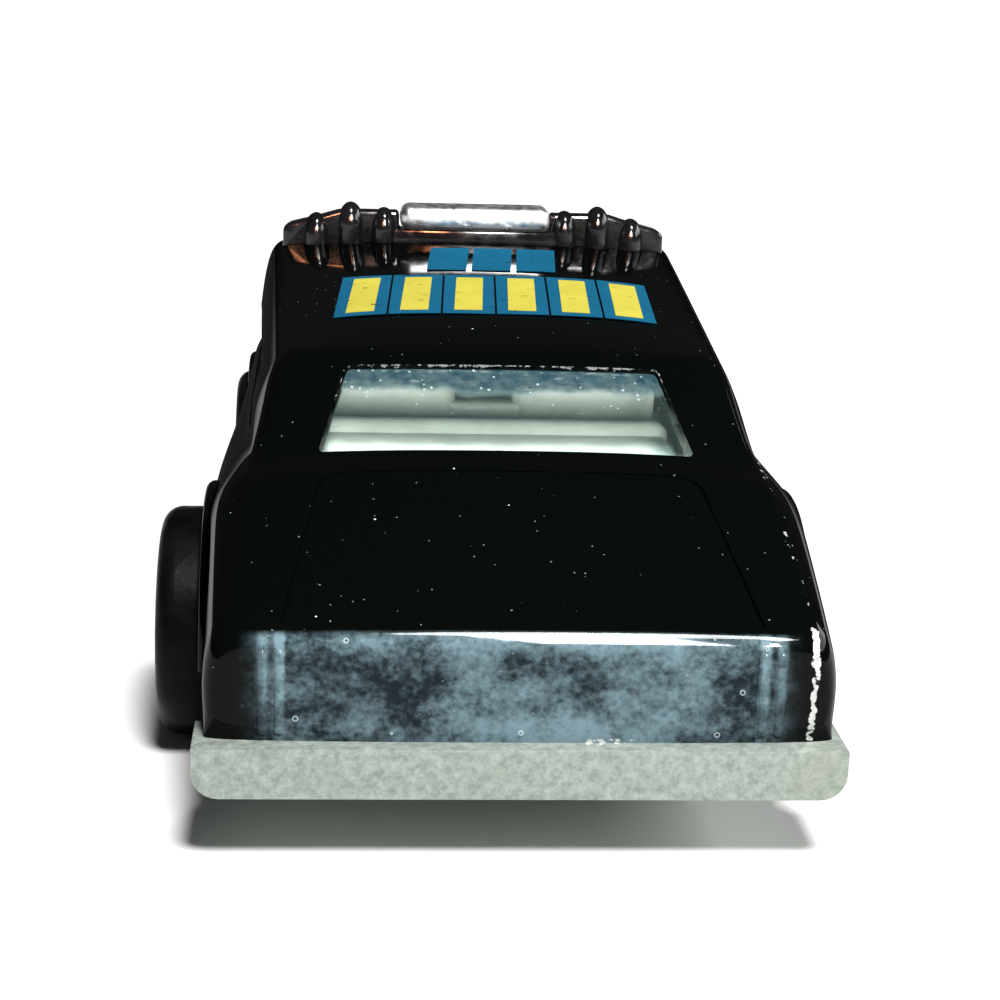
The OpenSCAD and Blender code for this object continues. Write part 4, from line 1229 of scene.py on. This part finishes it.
@dataclass
class Cabin:
    """The moulded interior: the tub's lower part from the frame, with rounded seats, shelf and dash on it."""

    half_w: float = 11.9
    y: Flat = (-21.1, 10.6)
    wall: float = 0.8
    cut_z: float = 8.4
    overlap: float = 0.2
    rim_z: float = 13.3
    shelf_z: float = 14.3
    bench_z: float = 14.9
    bench_x: float = 9.2
    bench_y: Flat = (-14.3, -12.6)
    bench_front_y: float = -6
    shelf_rear_y: float = -18.6
    shelf_low_z: float = 12.6
    ledge_front_y: float = -16.7
    ledge_low_z: float = 12.5
    dash_y: Flat = (7.6, 10.5)
    dash_low_z: float = 10.3
    seat_x: float = 5.71
    seat_y: float = -4.0
    seat_top_z: float = 15.1
    bridge_z: float = 13.85
    seat_half: float = 4.1
    cushion_l: float = 6.6
    cushion_z: float = 9.95
    lean: float = 0.25
    wheel: Flat = (1.7, 0.3)
    wheel_tilt: float = 60
    wheel_y: float = 7.6
    wheel_drop: float = 1.33

    def foot_z(self) -> float:
        """Returns where the added parts start, a little under the cut."""
        return self.cut_z - self.overlap

    def lower_part(self) -> Object:
        """Returns the tub's lower part, cut level."""
        return cut_level(softened("interior", "tub_floor", 0), self.cut_z, False)

    def rim(self) -> Object:
        """Returns the tub's wall."""
        low, wall = self.foot_z(), self.wall
        outer = block("tub_wall", (-self.half_w, self.y[0], low), (self.half_w, self.y[1], self.rim_z), 0.15, 2)
        inner = block(
            "tub_room", (-self.half_w + wall, self.y[0] + wall, low - 1),
            (self.half_w - wall, self.y[1] - wall, self.rim_z + 1), 0.5, 3,
        )
        return combine(outer, "DIFFERENCE", inner)

    def seat_back(self, x: Flat, thick: float, top: float, rounding: float) -> Object:
        """Returns a back of the front seats that leans towards the rear."""
        low = self.foot_z()
        back = block("seat_back", (x[0], self.seat_y, low), (x[1], self.seat_y + thick, top), rounding, 6)
        for vertex in back.data.vertices:
            vertex.co.y -= self.lean * (vertex.co.z - low * MM)
        return back

    def seat(self, side: int) -> list[Object]:
        """Returns a front seat's cushion and leaning back."""
        x, half = side * self.seat_x, self.seat_half
        low, high = (x - half, self.seat_y, self.foot_z()), (x + half, self.seat_y + self.cushion_l, self.cushion_z)
        cushion = block("seat_cushion", low, high, 0.6)
        return [cushion, self.seat_back((x - half, x + half), 1.9, self.seat_top_z, 0.94)]

    def seat_bridge(self) -> Object:
        """Returns the low middle part between the front seats' backs."""
        half = self.seat_x - 3.6
        return self.seat_back((-half, half), 1.6, self.bridge_z, 0.45)

    def bench(self) -> list[Object]:
        """Returns the rear bench and the parcel shelf behind it."""
        half, ledge, low = self.bench_x, self.half_w - 0.2, self.foot_z()
        return [
            block("bench_cushion", (-half, self.bench_y[0], low), (half, self.bench_front_y, self.cushion_z), 0.6),
            block("bench_back", (-half, self.bench_y[0], low), (half, self.bench_y[1], self.bench_z), 0.7, 6),
            block(
                "parcel_shelf", (-half, self.shelf_rear_y, self.shelf_low_z),
                (half, self.bench_y[0] + 0.6, self.shelf_z), 0.6, 6,
            ),
            block(
                "rear_ledge", (-ledge, self.y[0] + 0.2, self.ledge_low_z),
                (ledge, self.ledge_front_y, self.rim_z), 0.1, 2,
            ),
        ]

    def steering_wheel(self) -> list[Object]:
        """Returns the steering wheel and its column."""
        x, y, z = -self.seat_x, self.wheel_y, self.rim_z - self.wheel_drop
        radius, thick = self.wheel
        turn = math.radians(self.wheel_tilt)
        rim = start(
            "steering_rim", bpy.ops.mesh.primitive_torus_add, major_segments=40, minor_segments=12,
            major_radius=radius * MM, minor_radius=thick * MM, location=Vector((x, y, z)) * MM, rotation=(turn, 0, 0),
        )
        hub = [(0.02, -3), (0.42, -3), (0.42, 0.1), (0.3, 0.25), (0.02, 0.28)]
        column = turned("steering_column", hub, (x, y, z), (0, -math.sin(turn), math.cos(turn)), 24)
        spoke = block("steering_spoke", (x - radius, y - 0.12, z - thick), (x + radius, y + 0.12, z + thick), 0.1, 2)
        return [rim, column, spoke]

    def build(self) -> Object:
        """Returns the finished interior."""
        half = self.half_w - 0.1
        dash = block("dash", (-half, self.dash_y[0], self.dash_low_z), (half, self.dash_y[1], self.rim_z), 0.5)
        seats = [*self.bench(), *self.seat(-1), *self.seat(1), self.seat_bridge()]
        return shade(join("pale_interior", [self.lower_part(), self.rim(), dash, *seats, *self.steering_wheel()]))


@dataclass
class NoseLamps:
    """Two pairs of round headlamps."""

    lines: BodyLines
    x: Flat = (8.45, 11.2)
    z: float = 7.65
    radius: float = 1.1
    proud: float = 0.15

    def lamp(self, x: float) -> Object:
        """Returns one lamp: a bezel round a domed lens."""
        r = self.radius
        dome = [(r * 0.74 * math.cos(a), 0.18 * math.sin(a)) for a in (math.radians(d) for d in (0, 22, 45, 67, 88))]
        bezel = [(r, 0), (r - 0.1, self.proud), (r * 0.84, self.proud), (r * 0.78, 0)]
        profile = [(0.02, -0.6), (r, -0.6), *bezel, *dome]
        return turned("lamp", profile, (x, self.lines.nose_y - 0.12, self.z), (0, 1, 0), 48)

    def build(self) -> Object:
        """Returns the four lamps as one piece."""
        return shade(join("nose_lamps", [self.lamp(side * x) for side in SIDES for x in self.x]))


@dataclass
class PostHeads:
    """Spread ends of the two posts that hold the base to the shell."""

    places: Flat = (28.0, -28.6)
    z: float = 3.27
    radius: float = 1.45

    def build(self) -> Object:
        """Returns both heads as one piece."""
        r = self.radius
        turns = [math.radians(d) for d in (0, 25, 50, 70, 88)]
        crown = [(r * math.cos(a), 0.48 - 0.5 * math.sin(a)) for a in turns]
        profile = [(0.02, 1.6), (0.9, 1.6), (0.9, 0.58), (r, 0.56), *crown]
        heads = [turned("post_head", profile, (0, y, self.z), (0, 0, 1), 40) for y in self.places]
        return shade(join("post_heads", heads))


@dataclass
class LightBar:
    """Black bar across the roof with three beacons on each side."""

    lines: BodyLines
    half_l: float = 11.8
    y: Flat = (8.0, 9.2)
    plinth_y: Flat = (7.4, 9.2)
    lamp_y: Flat = (7.35, 9.46)
    foot_z: float = 19.6
    roof_z: float = 20.6
    plinth_h: float = 1.15
    block_h: float = 2.2
    siren_x: float = 4.65
    slope: tuple[Flat, ...] = ((0.7, 1), (0.8, 0.84), (0.97, 0.6), (1, 0.45))
    beacons: tuple[Flat, ...] = ((5.6, 23.0), (7.65, 23.3), (9.75, 22.6))
    beacon_r: float = 0.82
    dome_h: float = 1.4

    def build(self) -> Object:
        """Returns the finished bar."""
        side = [(self.siren_x, self.roof_z + self.plinth_h), (self.siren_x, self.roof_z + self.block_h)]
        side += [(self.half_l * share, self.roof_z + self.block_h * rise) for share, rise in self.slope]
        side.append((self.half_l, self.foot_z))
        bar = outline_bar("roof_bar", side + [(-x, z) for x, z in reversed(side)], self.y, 0.3)
        reach, top_z = self.siren_x + 0.4, self.roof_z + self.plinth_h
        plinth = block(
            "plinth", (-reach, self.plinth_y[0], self.foot_z), (reach, self.plinth_y[1] - 0.1, top_z), 0.15, 2,
        )
        domes = [self.beacon(sign * x, top) for sign in SIDES for x, top in self.beacons]
        combine(bar, "UNION", plinth, *domes)
        return shade(combine(bar, "DIFFERENCE", self.lines.solid("roof_form", -0.02, 3)))

    def beacon(self, x: float, top: float) -> Object:
        """Returns one upright beacon with a domed top, drawn out along the car."""
        r, h = self.beacon_r, self.dome_h
        dome = [(r * c, top - h + h * s) for c, s in arc((0, 0), 1, 0, 84, 9)]
        middle = sum(self.lamp_y) / 2
        profile = [(0.02, self.foot_z), (r, self.foot_z), *dome, (0.02, top)]
        piece = turned("beacon", profile, (x, middle, 0), (0, 0, 1), 40)
        stretch = (self.lamp_y[1] - self.lamp_y[0]) / 2 / r
        with editing(piece):
            bpy.ops.transform.resize(value=(1, stretch, 1), center_override=(x * MM, middle * MM, 0))
        return piece


@dataclass
class SirenBar:
    """Plated bar in the middle of the light bar."""

    half_l: float = 4.6
    y: Flat = (6.9, 9.5)
    z: Flat = (21.75, 23.25)

    def build(self) -> Object:
        """Returns the finished bar."""
        low, high = (-self.half_l, self.y[0], self.z[0]), (self.half_l, self.y[1], self.z[1])
        return shade(block("siren_cover", low, high, 0.6, 6))


@dataclass
class Wheel:
    """A tyre and its spoked hub."""

    set: Wheelset
    side: int
    side_h: float = 1.55
    shoulder: float = 1.0
    bead: float = 0.12
    rim_t: float = 0.6
    dish: float = 1.0
    disc_t: float = 1.0
    bore_r: float = 0.66
    boss_r: float = 1.41
    spokes: int = 5
    spoke_w: float = 1.1
    seat_gap: float = 0.02
    outer_x: float = 16.05

    def centre(self) -> Point:
        """Returns where the axle meets the tyre's inner face."""
        return (
            self.set.slide + self.side * (self.outer_x - self.set.tyre_w), self.set.y, self.set.tyre_d / 2,
        )

    def tyre(self, name: str) -> Object:
        """Returns the tyre."""
        r1, w, q = self.set.tyre_d / 2, self.set.tyre_w, self.shoulder
        r0 = r1 - self.side_h
        outer = arc((r1 - q, w - q), q, 0, 80, 8)
        inner = arc((r1 - q, q), q, -80, 0, 8)
        profile = [(r0, 0), (r0 + 0.3, 0), *inner, *outer, (r0 + 0.42, w - self.bead * 0.2), (r0 + 0.34, w), (r0, w)]
        return shade(turned(name, profile, self.centre(), (self.side, 0, 0), 96))

    def window(self, r0: float, r1: float, turn: float) -> Object:
        """Returns the cutter for one window between two spokes."""
        angle = math.tan(math.pi / self.spokes)
        low, high = r0 * angle - self.spoke_w / 2, r1 * angle - self.spoke_w / 2
        middle = Vector(self.centre())
        corners = []
        for radius, rise in ((r0, -low), (r1, -high), (r1, high), (r0, low)):
            y = radius * math.cos(turn) - rise * math.sin(turn)
            z = radius * math.sin(turn) + rise * math.cos(turn)
            corners.append((middle + Vector((self.side * (self.set.tyre_w - self.dish), y, z))) * MM)
        through = Vector((self.side * 1.6, 0, 0)) * MM
        return prism("hub_window", corners, (r1 - r0) * 0.25 * MM, through, -through)

    def hub(self, name: str) -> Object:
        """Returns the hub."""
        rim_r = self.set.tyre_d / 2 - self.side_h - self.seat_gap
        w, inner = self.set.tyre_w, rim_r - self.rim_t
        face, back = w - self.dish, w - self.dish - self.disc_t
        profile = [
            (self.bore_r, 0), (self.boss_r, 0), (self.boss_r, back), (inner, back), (inner, 0), (rim_r, 0),
            (rim_r, w), (inner + 0.25, w), (inner, w - 0.3), (inner, face), (self.boss_r + 0.1, face),
            (self.boss_r, face + 0.12), (self.bore_r, face + 0.12),
        ]
        piece = turned(name, profile, self.centre(), (self.side, 0, 0), 80)
        turns = [math.tau * i / self.spokes for i in range(self.spokes)]
        combine(piece, "DIFFERENCE", *(self.window(self.boss_r + 0.25, inner * 0.8, turn) for turn in turns))
        round_edges(piece, 0.09, 2, 35)
        return shade(piece)


@dataclass
class RoofPrint:
    """Printed blocks on the roof: a row of yellow ones edged in blue, and a short row of blue ones."""

    lines: BodyLines
    lean: float = 0.5
    thick: float = 0.03
    long_row: tuple[Flat, Flat, int, float] = ((-7.7, 8.4), (-10.1, -2.6), 6, 1.4)
    short_row: tuple[Flat, Flat, int, float] = ((-3, 4.5), (-0.6, 5.4), 3, 0.3)
    edge: float = 0.64
    lifts: Flat = (0.02, 0.04)

    def plate(self, name: str, x: Flat, y: Flat, lift: float) -> Object:
        """Returns one slanted block laid on the roof."""
        piece = start(name, bpy.ops.mesh.primitive_grid_add, x_subdivisions=6, y_subdivisions=5, size=1)
        for vertex in piece.data.vertices:
            share = vertex.co.y + 0.5
            place_y = between(*y, share)
            place_x = between(*x, vertex.co.x + 0.5) + self.lean * (share - 0.5)
            vertex.co = Vector((place_x, place_y, self.lines.top(place_y, place_x) + lift)) * MM
        modify(piece, "SOLIDIFY", thickness=self.thick * MM, offset=-1)
        return piece

    def row(self, name: str, row: tuple[Flat, Flat, int, float], lift: float, grow: float = 0) -> Object:
        """Makes a row of equal blocks, each grown all round.

        Args:
            name: Name of the new piece.
            row: Its span across and along the car, how many blocks it has and the gap between them.
            lift: Height of the blocks above the roof.
            grow: How far each block is grown.

        Returns:
            The row as one piece.
        """
        x, y, count, gap = row
        pitch = (x[1] - x[0] + gap) / count
        plates = []
        for i in range(count):
            left = x[0] + pitch * i
            span = (left - grow, left + pitch - gap + grow)
            plates.append(self.plate(name, span, (y[0] - grow, y[1] + grow), lift))
        return join(name, plates)


def put(name: str, data: bpy.types.ID) -> Object:
    """Returns a new object of the scene for a camera or a light."""
    piece = bpy.data.objects.new(name, data)
    bpy.context.scene.collection.objects.link(piece)
    return piece


@dataclass(frozen=True)
class Viewpoint:
    """Camera of the photograph: aim in millimetres, turns in degrees, lens and middle in pixels."""

    aim: Point = (0, 0, 10)
    distance: float = 126.5
    yaw: float = 3.92
    pitch: float = 14.34
    roll: float = 1.75
    focal_px: float = 2121
    middle_px: Flat = (476.5, 445.8)
    image_px: float = 1000

    def place(self) -> None:
        """Makes the camera and points it."""
        yaw, pitch, roll = (math.radians(a) for a in (self.yaw, self.pitch, self.roll))
        forward = Vector((math.sin(yaw) * math.cos(pitch), math.cos(yaw) * math.cos(pitch), -math.sin(pitch)))
        right = Vector((math.cos(yaw), -math.sin(yaw), 0))
        up = right.cross(forward)
        right, up = (
            right * math.cos(roll) + up * math.sin(roll),
            up * math.cos(roll) - right * math.sin(roll),
        )
        data = bpy.data.cameras.new("camera")
        data.sensor_width = 36
        data.lens = self.focal_px / self.image_px * data.sensor_width
        data.shift_x = (self.image_px / 2 - self.middle_px[0]) / self.image_px
        data.shift_y = (self.middle_px[1] - self.image_px / 2) / self.image_px
        data.clip_start = 0.005
        camera = put("camera", data)
        spot = (Vector(self.aim) - forward * self.distance) * MM
        axes = Matrix((right, up, -forward)).transposed()
        camera.matrix_world = Matrix.Translation(spot) @ axes.to_4x4()
        bpy.context.scene.camera = camera


def lit_group(name: str) -> bpy.types.Collection:
    """Returns the collection of pieces that a lamp is kept to."""
    return bpy.data.collections.get(name) or bpy.data.collections.new(name)


@dataclass(frozen=True)
class Lamp:
    """One soft area light: place and aim in millimetres, size in millimetres, power in watts."""

    name: str
    place: Point
    aim: Point
    size: Flat
    power: float
    tint: Colour = (1, 1, 1)
    only: str = ""

    def hang(self) -> None:
        """Makes the light; with a collection's name it falls only on that collection's pieces."""
        data = bpy.data.lights.new(self.name, "AREA")
        data.shape = "RECTANGLE"
        data.size, data.size_y = (s * MM for s in self.size)
        data.energy = self.power
        data.color = self.tint
        lamp = put(self.name, data)
        spot, aim = Vector(self.place) * MM, Vector(self.aim) * MM
        lamp.location = spot
        lamp.rotation_mode = "QUATERNION"
        lamp.rotation_quaternion = (aim - spot).to_track_quat("-Z", "Y")
        if self.only:
            lamp.light_linking.receiver_collection = lit_group(self.only)


@dataclass(frozen=True)
class Studio:
    """Pale floor and soft light round the car."""

    floor_r: float = 4000
    floor_tint: Colour = (0.83, 0.83, 0.82)
    sun_power: float = 4.6
    sun_soft: float = 13
    sun_turn: Point = (28, 0, 16)
    sky: float = 0.03

    def build(self) -> None:
        """Makes the floor, the lights and the dim room round them."""
        floor = start(
            "floor", bpy.ops.mesh.primitive_circle_add, vertices=96, radius=self.floor_r * MM, fill_type="NGON",
        )
        graph = Graph("pale_floor", Roughness=1.0, Specular_IOR_Level=0.0)
        tone = graph.ramp(graph.noise(60, 3), 0.3, 0.7)
        graph.set("Base_Color", graph.mix(tone, tuple(c * 0.985 for c in self.floor_tint), self.floor_tint))
        floor.data.materials.append(graph.material)
        data = bpy.data.lights.new("daylight", "SUN")
        data.energy = self.sun_power
        data.angle = math.radians(self.sun_soft)
        put("daylight", data).rotation_euler = [math.radians(a) for a in self.sun_turn]
        for lamp in self.lamps():
            lamp.hang()
        world = bpy.data.worlds.new("room")
        world.use_nodes = True
        world.node_tree.nodes["Background"].inputs["Color"].default_value = (self.sky, self.sky, self.sky * 1.05, 1)
        bpy.context.scene.world = world
        bpy.context.scene.view_settings.view_transform = "Standard"

    def lamps(self) -> list[Lamp]:
        """Returns the soft lights: flashes by the camera, a small warm one on the beacons, and a side fill."""
        return [
            Lamp("flash", (18, -112, 89), (0, -30, 10), (20, 56), 0.7, only="shiny"),
            Lamp("cabin_flash", (0, -150, 36), (0, -12, 14), (40, 20), 0.24, only="cabin"),
            Lamp("shelf_light", (14, -76, 99), (4, -16, 14), (30, 30), 0.26, only="cabin"),
            Lamp("warm_rear", (-26, -140, 90), (0, 0, 18), (16, 40), 0.28, (1, 0.36, 0.16), "beacons"),
            Lamp("right_fill", (240, 0, 120), (0, 0, 8), (300, 90), 0.5),
        ]


def main() -> None:
    """Builds the car piece by piece and sets it in the studio."""
    logging.basicConfig(level=logging.INFO, format="%(message)s")
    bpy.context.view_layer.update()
    Viewpoint().place()
    Studio().build()
    wheels = [Wheelset("front_axle", 19.9, 0.95, 9.9, 4.2), Wheelset("rear_axle", -19.6, -0.95, 11.5, 4.8)]
    lines = BodyLines()
    painted, roof_print = PaintedBody(lines), RoofPrint(lines)
    paint, zinc = GlossPaint().material(), BareZinc().material()
    # The interior plastic is painted darker lower down in the tub, as shade.
    pale = MouldedPlastic(
        "pale_interior_plastic", (0.52, 0.61, 0.52), (0.41, 0.48, 0.4), 0.5, painted_shade_z=(8.5, 14),
    ).material()
    gloss = MouldedPlastic(
        "black_bar_plastic", (0.0035, 0.0035, 0.004), (0.002, 0.002, 0.0025), 0.16, depth=0.006, sheen=0.4,
    ).material()
    rubber = MouldedPlastic(
        "black_tyre_plastic", (0.005, 0.005, 0.005), (0.0018, 0.0018, 0.0018), 0.42, sheen=0.06,
    ).material()
    plating, satin = (
        BrightMetal(name, (0.86, 0.87, 0.88), (0.6, 0.6, 0.6), rough).material()
        for name, rough in (("bright_plating", 0.1), ("satin_plating", 0.26))
    )
    wire = BrightMetal("axle_steel", (0.62, 0.62, 0.62), (0.4, 0.38, 0.36), 0.25, (0.1, 1, 1)).material()
    yellow = PrintInk("yellow_ink", (0.56, 0.49, 0.07)).material()
    blue = PrintInk("blue_ink", (0.01, 0.108, 0.2)).material()

    shell, bar = painted.build(wheels), LightBar(lines).build()
    dress(shell, paint, Slot.PAINT, CHASSIS, "body_shell")
    dress(softened("base_plate", "cast_base", 0.3), zinc, Slot.ZINC, CHASSIS, "base_plate")
    dress(Glazing(painted).build(), ClearPlastic().material(), Slot.CLEAR, CHASSIS, "windows")
    cabin, siren = Cabin().build(), SirenBar().build()
    dress(cabin, pale, Slot.PALE, CHASSIS, "interior")
    dress(NoseLamps(lines).build(), plating, Slot.PLATING, CHASSIS)
    dress(PostHeads().build(), zinc, Slot.ZINC, CHASSIS)
    dress(bar, gloss, Slot.BLACK, CHASSIS, "light_bar")
    for group, pieces in (("shiny", (shell, bar, siren)), ("beacons", (bar,)), ("cabin", (cabin,))):
        for piece in pieces:
            lit_group(group).objects.link(piece)
    dress(siren, satin, Slot.PLATING, CHASSIS, "siren_bar")
    for wheelset in wheels:
        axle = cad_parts[wheelset.body]
        axle.data.materials.clear()
        axle.data.materials.append(wire)
        for side, hand in zip(SIDES, ("left", "right")):
            wheel, corner = Wheel(wheelset, side), wheelset.body.replace("axle", hand)
            body = f"{corner}_wheel"
            dress(wheel.tyre(f"{body}_tyre"), rubber, Slot.TYRE, body, f"{corner}_tyre")
            dress(wheel.hub(f"{body}_hub"), plating, Slot.PLATING, body, f"{corner}_hub")
    low, high = roof_print.lifts
    edges = roof_print.row("blue_edges", roof_print.long_row, low, roof_print.edge)
    dress(edges, blue, Slot.PAINT, CHASSIS)
    dress(roof_print.row("yellow_blocks", roof_print.long_row, high), yellow, Slot.PAINT, CHASSIS)
    dress(roof_print.row("blue_blocks", roof_print.short_row, low), blue, Slot.PAINT, CHASSIS)


if __name__ == "__main__":
    main()
